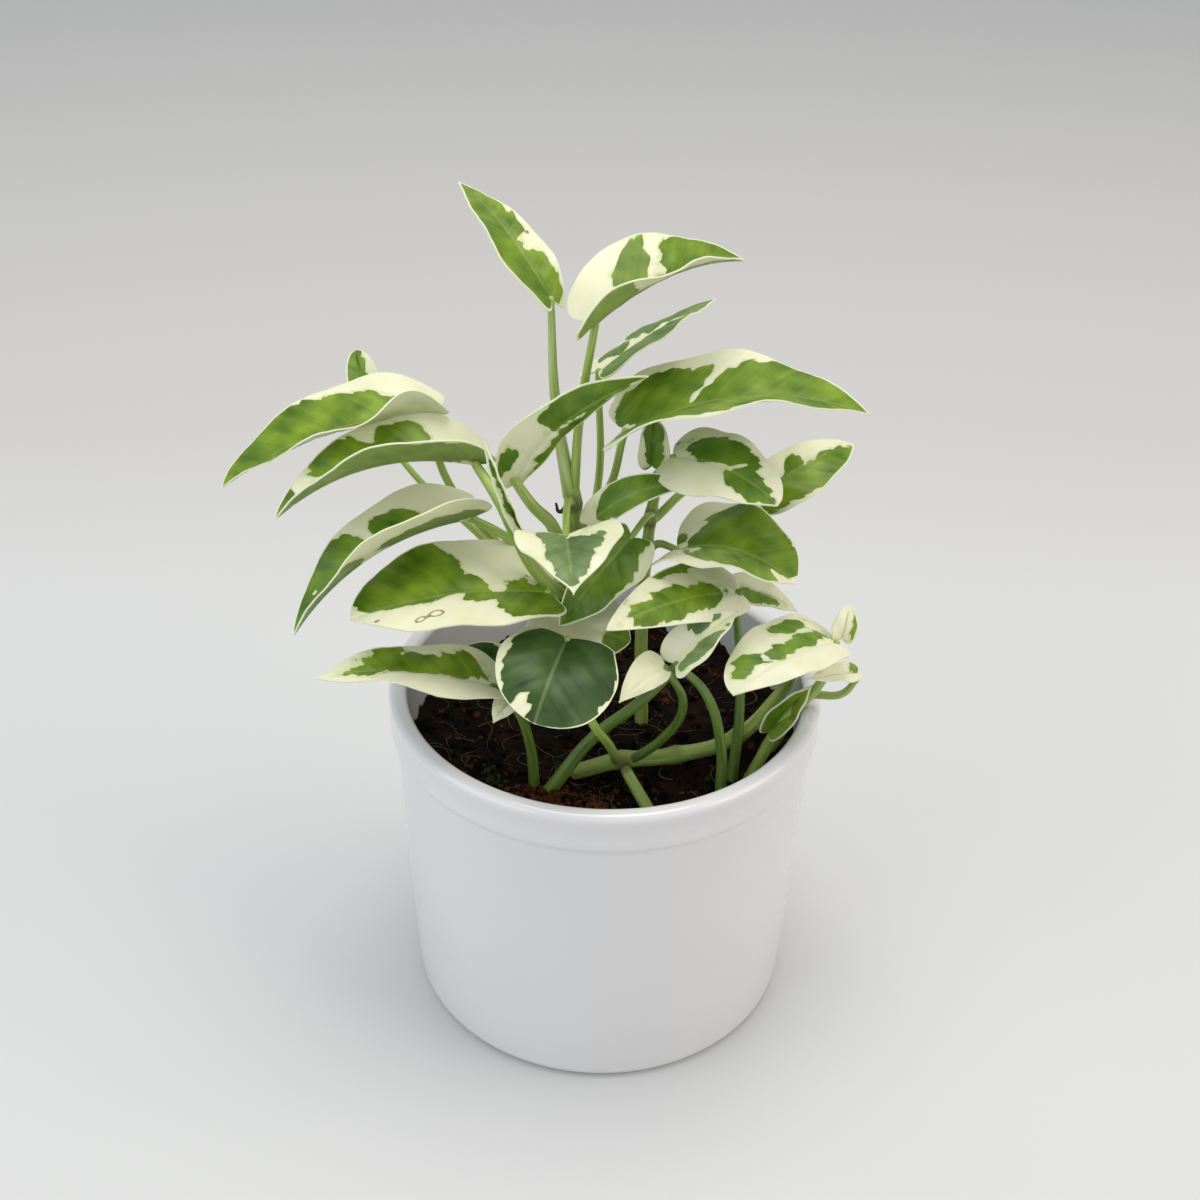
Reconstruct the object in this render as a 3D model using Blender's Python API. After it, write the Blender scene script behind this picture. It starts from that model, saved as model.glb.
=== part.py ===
"""Potted pothos: a variegated trailing plant rooted in a straight-sided glazed pot.

Metres, +Z up. The pot's axis is Z and the pot stands on z = 0. The plant's own points are
given in millimetres as (right, back, height above the soil), so the plant stays on its
soil when the pot changes.
"""

import math

import bmesh
import bpy
from mathutils import Matrix, Vector
from mathutils.bvhtree import BVHTree

MM = 0.001

# Pot
POT_DIAMETER = 135.0
POT_HEIGHT = 113.0
WALL = 5.7
FLOOR = 6.0
BASE_DRAFT = 4.2          # how much smaller the body's radius is at the foot than at the collar
FOOT_FILLET = 4.0
COLLAR_HEIGHT = 11.0
COLLAR_STEP = 1.1
COVE_HEIGHT = 5.0
LIP_RADIUS = 2.4
INNER_FILLET = 6.0
POT_SEGMENTS = 64

# Soil
SOIL_DEPTH = 23.0         # from the rim down to the soil
SOIL_RELIEF = 1.0
SOCKET_DEPTH = 12.0

# Plant
GAP = 0.3
LEAF_THICKNESS = 0.6
LEAF_SCALE = 1.0          # width of every blade
STEM_SCALE = 1.0          # girth of every vine and petiole
VINE_RADIUS = 2.6
DRAWN_DEPTH = 23.0        # the rim above the soil, as the plant's points are drawn
DRAWN_MOUTH = 61.8        # the mouth's radius, as the plant's points are drawn

CREAM = (0.86, 0.84, 0.62)
GREEN = (0.16, 0.34, 0.05)
STEM_GREEN = (0.36, 0.50, 0.16)

POT_RADIUS = POT_DIAMETER / 2
SOIL_TOP = POT_HEIGHT - SOIL_DEPTH

# Half of a blade's outline as rows from the leaf base to just before the tip: where the row
# starts on the midrib, how far out its margin point is (1 is the widest), and where along
# the blade that margin point lies. The first two rows are the lobe behind the base.
OUTLINE = (
    (0.00, 0.17, -0.03),
    (0.02, 0.55, -0.06),
    (0.09, 0.88, 0.05),
    (0.23, 1.00, 0.21),
    (0.41, 0.92, 0.41),
    (0.59, 0.71, 0.61),
    (0.76, 0.43, 0.79),
    (0.90, 0.17, 0.92),
)


def clear_scene():
    for obj in list(bpy.data.objects):
        bpy.data.objects.remove(obj, do_unlink=True)


def material(name, colour, roughness, metallic=0.0):
    made = bpy.data.materials.new(name)
    made.use_nodes = True
    shader = made.node_tree.nodes["Principled BSDF"]
    shader.inputs["Base Color"].default_value = (*colour, 1.0)
    shader.inputs["Roughness"].default_value = roughness
    shader.inputs["Metallic"].default_value = metallic
    made.diffuse_color = (*colour, 1.0)
    return made


def add(name, data, made):
    obj = bpy.data.objects.new(name, data)
    bpy.context.scene.collection.objects.link(obj)
    data.materials.append(made)
    return obj


def arc(radius, height, size, start, end, steps):
    """Points of a round on a turned profile, centred at (radius, height), in degrees."""
    turn = [math.radians(start + (end - start) * i / steps) for i in range(steps + 1)]
    return [(radius + size * math.cos(a), height + size * math.sin(a)) for a in turn]


def turned(name, profile, segments, made):
    """A body turned about Z from a profile that starts and ends on the axis."""
    mesh = bpy.data.meshes.new(name)
    bm = bmesh.new()
    verts = [bm.verts.new((r * MM, 0, z * MM)) for r, z in profile]
    edges = [bm.edges.new(pair) for pair in zip(verts, verts[1:])]
    bmesh.ops.spin(bm, geom=edges, cent=(0, 0, 0), axis=(0, 0, 1), angle=math.tau,
                   steps=segments, use_merge=True)
    bmesh.ops.remove_doubles(bm, verts=bm.verts, dist=1e-6)
    bmesh.ops.recalc_face_normals(bm, faces=bm.faces)
    bm.to_mesh(mesh)
    bm.free()
    mesh.shade_smooth()
    mesh.set_sharp_from_angle(angle=math.radians(40))
    return add(name, mesh, made)


def inner_radius(z):
    """Inside radius of the pot at height z; the wall is as thick all the way up."""
    return POT_RADIUS - WALL - BASE_DRAFT * max(0.0, 1 - z / (POT_HEIGHT - COLLAR_HEIGHT))


SPREAD = inner_radius(POT_HEIGHT) / DRAWN_MOUTH


def build_pot():
    foot = POT_RADIUS - COLLAR_STEP - BASE_DRAFT + 0.1
    body_top = POT_HEIGHT - COLLAR_HEIGHT - COVE_HEIGHT
    body = POT_RADIUS - COLLAR_STEP
    inner_lip = min(LIP_RADIUS, WALL / 2.5)
    profile = [(0, 0), (foot - FOOT_FILLET, 0)]
    profile += arc(foot - FOOT_FILLET, FOOT_FILLET, FOOT_FILLET, -60, 0, 3)
    profile += [(body, body_top)]
    profile += [(body + COLLAR_STEP * 0.5, body_top + COVE_HEIGHT * 0.55)]
    profile += [(POT_RADIUS, body_top + COVE_HEIGHT)]
    profile += arc(POT_RADIUS - LIP_RADIUS, POT_HEIGHT - LIP_RADIUS, LIP_RADIUS, 0, 90, 4)
    mouth = inner_radius(POT_HEIGHT)
    shoulder = POT_HEIGHT - COLLAR_HEIGHT
    profile += arc(mouth + inner_lip, POT_HEIGHT - inner_lip, inner_lip, 90, 180, 3)
    profile += [(inner_radius(shoulder), shoulder)]
    bottom = inner_radius(FLOOR + INNER_FILLET)
    profile += arc(bottom - INNER_FILLET, FLOOR + INNER_FILLET, INNER_FILLET, 0, -90, 3)
    profile += [(0, FLOOR)]
    glaze = material("white_glaze", (0.86, 0.86, 0.86), 0.28)
    return turned("pot", profile, POT_SEGMENTS, glaze)


def relief(x, y):
    """Height of the soil's lumps at (x, y), nothing at the wall."""
    lumps = math.sin(x * 0.21 + 1.3) * math.cos(y * 0.17 - 0.4) + 0.6 * math.sin(x * 0.09 - y * 0.26)
    fade = 1 - min(1.0, math.hypot(x, y) / inner_radius(SOIL_TOP)) ** 6
    return SOIL_RELIEF * lumps * fade


def build_soil(feet):
    """The root ball: it fills the pot from the floor up, with a socket for each stem's foot."""
    top = inner_radius(SOIL_TOP) - GAP
    low = inner_radius(FLOOR + INNER_FILLET)
    profile = [(0, FLOOR + GAP)]
    profile += arc(low - INNER_FILLET, FLOOR + INNER_FILLET, INNER_FILLET - GAP, -90, 0, 3)
    profile += [(top, SOIL_TOP)]
    profile += [(top * share, SOIL_TOP) for share in (0.9, 0.72, 0.54, 0.36, 0.18, 0.0)]
    loam = material("potting_mix", (0.035, 0.022, 0.014), 0.95)
    soil = turned("soil", profile, 48, loam)
    for vert in soil.data.vertices:
        x, y, z = vert.co / MM
        if z > SOIL_TOP - 1:
            vert.co.z = (z + relief(x, y)) * MM
    for place, girth in feet:
        mesh = bpy.data.meshes.new("socket")
        bm = bmesh.new()
        deep = Matrix.Translation(on_soil((*place, 0)))
        bmesh.ops.create_cone(bm, cap_ends=True, segments=16, radius1=(girth + GAP) * MM,
                              radius2=(girth + GAP) * MM, depth=2 * SOCKET_DEPTH * MM,
                              matrix=deep)
        bm.to_mesh(mesh)
        bm.free()
        cutter = add("socket", mesh, loam)
        cutter.hide_render = True
        cutter.display_type = "WIRE"
        cut = soil.modifiers.new("socket", "BOOLEAN")
        cut.operation = "DIFFERENCE"
        cut.solver = "EXACT"
        cut.object = cutter
    return soil


def on_soil(point):
    """A plant point, from millimetres above the soil to metres in the pot's frame. What is
    over the rim rises with it, and the plant spreads with the pot's mouth."""
    share = min(1.0, max(0.0, point[2] / DRAWN_DEPTH))
    height = point[2] + (SOIL_DEPTH - DRAWN_DEPTH) * share
    return Vector((point[0] * SPREAD, point[1] * SPREAD, height + SOIL_TOP)) * MM


def tint(green):
    """Blade colour for a share of green between none and all."""
    return tuple(c + (g - c) * green for c, g in zip(CREAM, GREEN))


class Blade:
    """The surface of one leaf, from its midrib, its width and how each half folds."""

    def __init__(self, base, tip, width, face, arch, sweep, left, right, twist):
        self.base = on_soil(base)
        self.tip = on_soil(tip)
        along = (self.tip - self.base).normalized()
        up = Vector(face)
        up = (up - up.dot(along) * along).normalized()
        side = up.cross(along)
        self.bow = (self.base + self.tip) / 2 + (arch * up + sweep * side) * 2 * MM
        self.up = up
        self.half = width * LEAF_SCALE * MM / 2
        self.folds = {1: left, -1: right}
        self.twist = twist

    def midrib(self, t):
        """Place and direction on the midrib; below 0 it runs straight on behind the base."""
        if t < 0:
            slope = 2 * (self.bow - self.base)
            return self.base + slope * t, slope.normalized()
        place = (1 - t) ** 2 * self.base + 2 * t * (1 - t) * self.bow + t * t * self.tip
        slope = (1 - t) * (self.bow - self.base) + t * (self.tip - self.bow)
        return place, slope.normalized()

    def at(self, side, out, t):
        """Point of the blade: side 1 is left and -1 right, out runs from 0 to 1."""
        place, slope = self.midrib(t)
        up = (self.up - self.up.dot(slope) * slope).normalized()
        up = Matrix.Rotation(math.radians(self.twist) * (t - 0.4), 3, slope) @ up
        across = side * up.cross(slope)
        root, margin = self.folds[side]
        steps = 6
        for i in range(steps):
            q = out * (i + 0.5) / steps
            angle = math.radians(root + (margin - root) * q)
            place = place + (math.cos(angle) * across + math.sin(angle) * up) * (self.half * out / steps)
        return place


def leaf(name, base, tip, width, face=(0, 0, 1), arch=5.0, sweep=0.0, left=(10, 20),
         right=(10, 20), twist=0.0, belly=1.0, green=0.5):
    """One blade. It is a sheet of rows that run out and forward from the midrib, as the side
    veins do, thickened to a closed solid. A belly under 1 moves the widest part forward."""
    blade = Blade(base, tip, width, face, arch, sweep, left, right, twist)
    mesh = bpy.data.meshes.new(name)
    bm = bmesh.new()
    rows = []
    for rib, out, along in OUTLINE:
        rib = rib ** belly
        along = along ** belly if along > 0 else along
        half_along = rib + (along - rib) * 0.42
        row = [blade.at(1, out, along), blade.at(1, out * 0.52, half_along)]
        row += [blade.midrib(rib)[0]]
        row += [blade.at(-1, out * 0.52, half_along), blade.at(-1, out, along)]
        rows.append([bm.verts.new(point) for point in row])
    tip_vert = bm.verts.new(blade.tip)
    for low, high in zip(rows, rows[1:]):
        for i in range(4):
            bm.faces.new((low[i], low[i + 1], high[i + 1], high[i]))
    for i in range(4):
        bm.faces.new((rows[-1][i], rows[-1][i + 1], tip_vert))
    bm.to_mesh(mesh)
    bm.free()
    mesh.shade_smooth()
    obj = add(name, mesh, material(name + "_skin", tint(green), 0.38))
    thick = obj.modifiers.new("thickness", "SOLIDIFY")
    thick.thickness = LEAF_THICKNESS * MM
    thick.offset = 0.0
    return obj


def surface(obj):
    graph = bpy.context.evaluated_depsgraph_get()
    evaluated = obj.evaluated_get(graph)
    mesh = evaluated.to_mesh()
    tree = BVHTree.FromPolygons([v.co.copy() for v in mesh.vertices],
                                [tuple(p.vertices) for p in mesh.polygons])
    evaluated.to_mesh_clear()
    return tree


def meet(outside, target, radius, obj):
    """Where a round end of this radius, coming from outside towards target, stops GAP short
    of the object's surface."""
    tree = surface(obj)
    way = (target - outside).normalized()
    across = way.orthogonal().normalized()
    around = way.cross(across)
    ring = [Vector((0, 0, 0))]
    ring += [(across * math.cos(a) + around * math.sin(a)) * radius
             for a in (math.tau * i / 12 for i in range(12))]
    step = 0.05 * MM
    place = outside.copy()
    for _ in range(int((target - outside).length / step)):
        ahead = place + way * step
        if min(tree.find_nearest(ahead + r)[3] for r in ring) < GAP * MM:
            break
        place = ahead
    return place


def stem(name, points, radii, sides=8, start_on=None, end_on=None, run=5.0):
    """A vine or petiole: a round tube through the points. An end that joins another piece
    comes from `run` millimetres away and stops short of it by the gap."""
    places = [p if isinstance(p, Vector) else on_soil(p) for p in points]
    girths = [r * STEM_SCALE * MM for r in radii]
    bpy.context.view_layer.update()
    if start_on:
        way = (places[1] - places[0]).normalized()
        away = run * STEM_SCALE ** 2 * MM
        places[0] = meet(places[0] + way * away, places[0], girths[0], start_on)
    if end_on:
        way = (places[-2] - places[-1]).normalized()
        places[-1] = meet(places[-1] + way * run * MM, places[-1], girths[-1], end_on)
    curve = bpy.data.curves.new(name, "CURVE")
    curve.dimensions = "3D"
    curve.resolution_u = 3
    curve.bevel_depth = 1.0
    curve.bevel_resolution = (sides - 4) // 2
    curve.use_fill_caps = True
    spline = curve.splines.new("BEZIER")
    spline.bezier_points.add(len(places) - 1)
    for point, place, girth in zip(spline.bezier_points, places, girths):
        point.co = place
        point.radius = girth
        point.handle_left_type = "AUTO"
        point.handle_right_type = "AUTO"
    if name in FEET:
        spline.bezier_points[0].handle_right_type = "VECTOR"
        spline.bezier_points[1].handle_left_type = "VECTOR"
    return add(name, curve, material(name + "_skin", STEM_GREEN, 0.4))


clear_scene()
pot = build_pot()

# Each foot is a stem's place on the soil and its radius there.
FEET = {
    "vine_centre": ((-2, 20), VINE_RADIUS),
    "vine_left": ((-14, 14), VINE_RADIUS),
    "vine_back": ((12, 6), VINE_RADIUS - 0.4),
    "vine_right": ((-6, -21), VINE_RADIUS),
    "petiole_centre_low": ((-15, -29), 2.2),
    "petiole_rim_left": ((-21, -27), 1.7),
    "petiole_white_right": ((36, -30), 1.8),
    "petiole_back_right": ((40, -21), 1.8),
    "petiole_right_front": ((46, -21), 1.9),
    "petiole_right_edge": ((53, -8), 1.6),
    "stub_front": ((12, -34), 1.9),
}
build_soil([(place, girth * STEM_SCALE) for place, girth in FEET.values()])


def foot(name):
    """The two points that stand a stem upright in its socket."""
    (x, y), _ = FEET[name]
    return [(x, y, 1.5 - SOCKET_DEPTH), (x, y, 2.5)]


# Leaves of the crown and the back
crown_left = leaf("leaf_crown_left", (-17.5, 8, 145), (-46, 45, 165), 20, face=(0.75, -0.6, 0.2),
                  arch=4, sweep=3, left=(55, 75), right=(10, 25), green=0.5)
crown_right = leaf("leaf_crown_right", (-5, 1, 141), (37, 30, 149), 33, face=(0, -0.2, 1),
                   arch=9, left=(3, -5), right=(20, 28), belly=0.85, green=0.5)
upper_back = leaf("leaf_upper_back", (-4, 18, 119), (31, 50, 129), 24,
                  arch=2, left=(-20, -35), right=(20, 30), green=0.7)
right_large = leaf("leaf_right_large", (4, 2, 108), (72, -2, 117), 46,
                   arch=8, left=(12, 14), right=(16, 20), green=0.6)
upper_middle = leaf("leaf_upper_middle", (-27, -4, 94), (10, -4, 128), 22,
                    face=(0, -0.85, 0.53), arch=5, sweep=4, left=(45, 50), right=(45, 50), green=0.6)
left_far = leaf("leaf_left_far", (-52, 10, 108), (-112, -2, 89), 34,
                arch=10, left=(10, 14), right=(5, 5), green=0.6)
left_second = leaf("leaf_left_second", (-38, -5, 100), (-94, -18, 88), 30,
                   arch=9, left=(14, 18), right=(8, 10), green=0.5)
back_small = leaf("leaf_back_small", (-72, 36, 92), (-80, 50, 109), 12, face=(0, -0.9, 0.4),
                  arch=2, left=(20, 30), right=(20, 30), green=0.7)
left_third = leaf("leaf_left_third", (-40, -8, 84), (-89, -32, 58), 33, face=(-0.2, -0.1, 1),
                  arch=9, left=(14, 20), right=(12, 14), green=0.5)
left_front = leaf("leaf_left_front", (-17, -22, 68), (-72, -34, 65), 42,
                  arch=4, left=(6, 8), right=(14, 16), belly=0.6, green=0.6)
rim_left = leaf("leaf_rim_left", (-32, -38, 46), (-81, -42, 50), 26,
                arch=4, left=(10, 14), right=(8, 12), green=0.5)

# Leaves of the middle and the front
front = leaf("leaf_front", (-11, -35, 61), (-19, -60, 50), 34, face=(0, -0.5, 0.85),
             arch=3, left=(5, -10), right=(5, -10), belly=0.6, green=0.9)
front_under = leaf("leaf_front_under", (-21, -19, 58), (5, -26, 55), 26, face=(0, -0.5, 0.85),
                   arch=2, left=(5, 10), right=(5, 10), green=0.4)
heart = leaf("leaf_heart", (-12, -22, 87), (-9, -46, 83), 33, face=(0, -0.4, 0.9),
             arch=2, left=(10, 20), right=(10, 20), green=0.6)
shaded = leaf("leaf_shaded", (6.5, -9.5, 79.5), (-13.5, -27, 60), 22, face=(-0.2, -0.8, 0.5),
              arch=3, left=(10, 20), right=(10, 20), green=0.8)
arching_back = leaf("leaf_arching_back", (-6, -7, 82), (25, -6, 95), 22, face=(0, -0.5, 0.85),
                    arch=5, left=(0, 5), right=(45, 55), green=0.6)
inner_left = leaf("leaf_inner_left", (-26.5, -29, 42.5), (-45, -20, 46), 15, face=(0, -0.3, 0.95),
                  arch=2, left=(10, 20), right=(10, 20), green=0.8)
small_white = leaf("leaf_small_white", (-25.5, -40, 43), (-31, -51, 43), 9, face=(-0.2, -0.5, 0.8),
                   arch=1, left=(10, 10), right=(10, 10), green=0.1)
centre_low = leaf("leaf_centre_low", (38, -18, 67), (0, -42, 69), 26, face=(0, -0.3, 0.95),
                  arch=4, left=(5, 5), right=(0, 5), green=0.8)
white_left = leaf("leaf_white_left", (17, -38, 54), (4, -51, 51), 16, face=(0, -0.5, 0.85),
                  arch=2, left=(10, 20), right=(10, 20), green=0.2)
white_right = leaf("leaf_white_right", (20, -36, 54), (37, -28, 67), 18, face=(0, -0.5, 0.85),
                   arch=2, left=(10, 20), right=(10, 20), green=0.4)

# Leaves of the right
right_curled = leaf("leaf_right_curled", (18, 0, 101), (47, -18, 96), 24, face=(0, -0.3, 1),
                    arch=5, left=(-15, -20), right=(10, 20), green=0.5)
young_lobe = leaf("leaf_young_lobe", (12, 2, 97), (12, 4, 111), 8, face=(0, -1, 0.2),
                  arch=1, left=(50, 70), right=(50, 70), green=0.9)
right_up = leaf("leaf_right_up", (45, 12, 83), (74, 30, 91), 26, face=(0, -0.6, 0.8),
                arch=5, left=(10, 20), right=(10, 20), green=0.6)
right_broad = leaf("leaf_right_broad", (20, -8, 75), (53, -22, 73), 36, face=(0, -0.1, 1),
                   arch=6, left=(8, 10), right=(15, 20), belly=0.85, green=0.7)
back_right = leaf("leaf_back_right", (38, 6, 54), (58, 2, 48), 16, face=(0, -0.4, 0.9),
                  arch=2, left=(10, 20), right=(10, 20), green=0.8)
right_front = leaf("leaf_right_front", (67, -22, 53), (36, -45, 50), 26, face=(0, -0.2, 1),
                   arch=5, left=(22, 30), right=(5, 8), belly=0.7, green=0.6)
right_curl = leaf("leaf_right_curl", (70, -19, 54), (74, -10, 62), 12, face=(0, -0.8, 0.5),
                  arch=2, left=(30, 40), right=(10, 20), green=0.3)
right_edge = leaf("leaf_right_edge", (75, -20, 39), (58, -34, 44), 8, face=(0, -0.6, 0.8),
                  arch=1, left=(10, 20), right=(10, 20), green=0.3)

# Vines
vine_centre = stem("vine_centre", foot("vine_centre") + [(-4, 17, 30), (-9, 9, 62), (-11, 3, 88)],
                   (2.6, 2.6, 2.5, 2.4, 2.3))
vine_left = stem("vine_left", foot("vine_left") + [(-16, 9, 30), (-19, -2, 58), (-25, -3, 78), (-27, -4, 94)],
                 (2.6, 2.6, 2.4, 2.2, 1.9, 1.5), end_on=upper_middle)
vine_back = stem("vine_back", foot("vine_back") + [(11, 8, 40), (12, 8, 70), (14, 6, 92)],
                 (2.2, 2.2, 2.0, 1.8, 1.6))
vine_right = stem("vine_right", foot("vine_right") + [(4, -20, 5.5), (20, -17, 5.5), (42, -8, 7),
                                                      (55, 0, 18), (59, -5, 31)],
                  (2.6, 2.6, 2.6, 2.5, 2.4, 2.0, 1.6))
stub_front = stem("stub_front", foot("stub_front") + [(7, -29, 9)], (1.9, 1.9, 1.7))

# Petioles of the crown and the back
stem("petiole_crown_left", [(-12.8, 3, 88), (-16, 5, 115), (-17.5, 8, 145)], (1.3, 1.2, 1.0),
     start_on=vine_centre, end_on=crown_left)
stem("petiole_crown_right", [(-9.6, 2.6, 88), (-9, 2, 112), (-5, 1, 141)], (1.3, 1.3, 1.1),
     start_on=vine_centre, end_on=crown_right)
stem("petiole_upper_back", [(-9, 9, 62), (-4, 17, 78), (-4, 18, 119)], (1.4, 1.2, 1.0),
     start_on=vine_centre, end_on=upper_back)
stem("petiole_right_large", [(-10.3, 6, 72), (-2, 8, 82), (4, 2, 108)], (1.4, 1.3, 1.1),
     start_on=vine_centre, end_on=right_large)

# Petioles of the left
stem("petiole_left_far", [(-18.5, 0, 52), (-36, 6, 68), (-49, 10, 88), (-52, 10, 108)],
     (1.5, 1.3, 1.2, 1.0), start_on=vine_left, end_on=left_far)
stem("petiole_left_second", [(-24.8, -3, 77), (-32.5, -7, 85), (-38, -5, 100)], (1.4, 1.3, 1.1),
     start_on=vine_left, end_on=left_second, run=7)
stem("petiole_back_small", [(-17, 5, 42), (-40, 16, 62), (-62, 28, 80), (-72, 36, 92)],
     (1.2, 1.1, 1.0, 0.8), start_on=vine_left, end_on=back_small)
stem("petiole_left_third", [(-22, -2.6, 69), (-30, -9, 79.5), (-40, -8, 84)], (1.2, 1.1, 1.0),
     start_on=vine_left, end_on=left_third, run=8)
stem("petiole_left_front", [(-19, -2, 58), (-20, -13, 66), (-17, -22, 68)], (1.3, 1.2, 1.1),
     start_on=vine_left, end_on=left_front)
stem("petiole_rim_left", foot("petiole_rim_left") + [(-22, -29, 18), (-26, -33, 35), (-32, -38, 46)],
     (1.7, 1.7, 1.5, 1.3, 1.1), end_on=rim_left)

# Petioles of the middle and the front
stem("petiole_front", [(4, -20, 5.5), (2, -34, 22), (-5, -43, 42), (-11, -35, 61)],
     (1.6, 1.4, 1.3, 1.1), start_on=vine_right, end_on=front)
stem("petiole_heart", [(-10.8, 4, 83), (-12, -10, 90), (-12, -22, 87)], (1.2, 1.1, 1.0),
     start_on=vine_centre, end_on=heart)
stem("petiole_shaded", [(13, 7, 78), (11, 0, 81), (6.5, -9.5, 79.5)], (1.1, 1.0, 0.9),
     start_on=vine_back, end_on=shaded)
stem("petiole_centre_low", foot("petiole_centre_low") + [(-4, -26, 18), (14, -30, 40), (38, -18, 67)],
     (2.2, 2.2, 1.9, 1.6, 1.2), end_on=centre_low)
stem("petiole_white_left", [(8, -20, 5.5), (17, -23, 16), (23, -31, 36), (17, -38, 54)],
     (1.6, 1.4, 1.3, 1.0), start_on=vine_right, end_on=white_left)
stem("petiole_white_right", foot("petiole_white_right") + [(35, -30, 20), (29, -33, 42), (20, -36, 54)],
     (1.8, 1.8, 1.6, 1.4, 1.0), end_on=white_right)

# Petioles of the right
stem("petiole_right_curled", [(14, 6, 92), (15.5, 3, 98), (18, 0, 101)], (1.2, 1.1, 1.0),
     start_on=vine_back, end_on=right_curled, run=4)
stem("petiole_right_up", [(12.5, 7.6, 75), (28, 16, 84), (45, 12, 83)], (1.4, 1.2, 1.0),
     start_on=vine_back, end_on=right_up)
stem("petiole_right_broad", [(12, 8, 64), (15, 0, 72), (20, -8, 75)], (1.3, 1.2, 1.0),
     start_on=vine_back, end_on=right_broad)
stem("petiole_back_right", foot("petiole_back_right") + [(41, -18, 24), (40, -6, 44), (38, 6, 54)],
     (1.8, 1.8, 1.5, 1.3, 1.0), end_on=back_right)
stem("petiole_right_front", foot("petiole_right_front") + [(54, -20, 22), (64, -21, 38), (67, -22, 53)],
     (1.9, 1.9, 1.7, 1.4, 1.1), end_on=right_front)
stem("petiole_right_edge", foot("petiole_right_edge") + [(57, -10, 14), (62, -12, 26), (71, -16, 30), (75, -20, 39)],
     (1.6, 1.6, 1.4, 1.3, 1.2, 0.9), end_on=right_edge)

# Young leaves that are still rolled
stem("leaf_spear", [(-25.7, -3.3, 83), (-29.5, -15.5, 91), (-34.5, -17, 103.5)], (0.9, 1.1, 0.3), sides=6,
     start_on=vine_left)
stem("leaf_rolled", [(50, -20.5, 14), (50, -27, 24), (60, -22, 37)], (1.0, 2.0, 0.5),
     start_on=bpy.data.objects["petiole_right_front"])
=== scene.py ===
"""Potted pothos: the looks of the plant, its soil and its glazed pot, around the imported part.

The order is camera, materials, shaping, leaves, stems, pot and soil, and studio. Each leaf and stem
stands for the CAD node of its name, and the crumbs, fibres and small root are extra.
"""

import math
import random

import bpy
from mathutils import Matrix, Vector, noise


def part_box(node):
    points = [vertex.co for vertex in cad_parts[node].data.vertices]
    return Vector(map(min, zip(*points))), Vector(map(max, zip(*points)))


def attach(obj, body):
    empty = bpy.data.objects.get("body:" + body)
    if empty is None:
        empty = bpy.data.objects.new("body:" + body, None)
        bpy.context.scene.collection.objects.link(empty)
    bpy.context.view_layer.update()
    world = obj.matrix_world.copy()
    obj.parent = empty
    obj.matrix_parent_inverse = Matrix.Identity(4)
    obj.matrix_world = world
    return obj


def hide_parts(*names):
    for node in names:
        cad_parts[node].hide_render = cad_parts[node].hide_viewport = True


random.seed(7)

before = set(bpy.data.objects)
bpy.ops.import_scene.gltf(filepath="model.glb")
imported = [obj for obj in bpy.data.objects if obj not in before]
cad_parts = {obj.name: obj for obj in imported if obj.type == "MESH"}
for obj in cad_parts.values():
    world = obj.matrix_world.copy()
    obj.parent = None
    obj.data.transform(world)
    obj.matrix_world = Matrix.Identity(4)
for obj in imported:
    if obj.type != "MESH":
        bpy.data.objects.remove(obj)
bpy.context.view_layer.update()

# Sizes are in millimetres and angles in degrees, unless a comment says otherwise.
MM = 0.001
POT_LOW, POT_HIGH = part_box("pot")
POT_RADIUS = (POT_HIGH.x - POT_LOW.x) / 2 / MM
POT_HEIGHT = POT_HIGH.z / MM
WALL = 5.7
WATERING_SPACE = 23.0
SOIL_TOP = round(POT_HEIGHT - WATERING_SPACE, 3)
SOIL_GAP = 0.5
SOIL_RADIUS = POT_RADIUS - WALL - SOIL_GAP
SOIL_FOOT = 8.0

BLADE_THICKNESS = 0.45
BLADE_COLUMNS, BLADE_ROWS = 56, 32
# A side vein leaves the midrib about every 7.5 mm, as radians of a wave for each millimetre, and
# runs this far towards the tip for each millimetre outwards.
VEIN_TURN = 0.42
VEIN_SLANT = 0.8
VEIN_SWELL = 0.5
MIDRIB_SINK = 0.35

STEM_SIDES = 14
# The radius of a common stem, which gives the width of the map around each one.
STEM_RADIUS = 2.0
JOINT_SWELL = 0.28
JOINT_LENGTH = 2.2

# Studio sizes are in metres.
LENS, SENSOR = 48, 36
CAMERA_PLACE = (0, -0.4068, 0.4065)
CAMERA_YAW, CAMERA_PITCH, CAMERA_ROLL = -0.3, 33.07, 1.21
LIGHTS_AIM = (0, 0, 0.1)
# Name, place, size, watts and colour of each soft box.
LIGHTS = (
    ("overhead", (0.0, 0.15, 1.5), 0.9, 9.5, "#fffaf2"),
    ("window", (1.3, -0.35, 0.9), 1.1, 7.5, "#fff1e2"),
    ("bounce", (-1.2, -0.7, 0.8), 1.4, 8.0, "#eef5ff"),
)
AIR_COLOUR, AIR_STRENGTH = "#e9f0f7", 0.64
FLOOR_SIZE = 8
# The floor lies a hair below the pot's foot, so that the two faces don't fight.
FLOOR_LEVEL = -0.0002


# ---------------------------------------------------------------- camera

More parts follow.
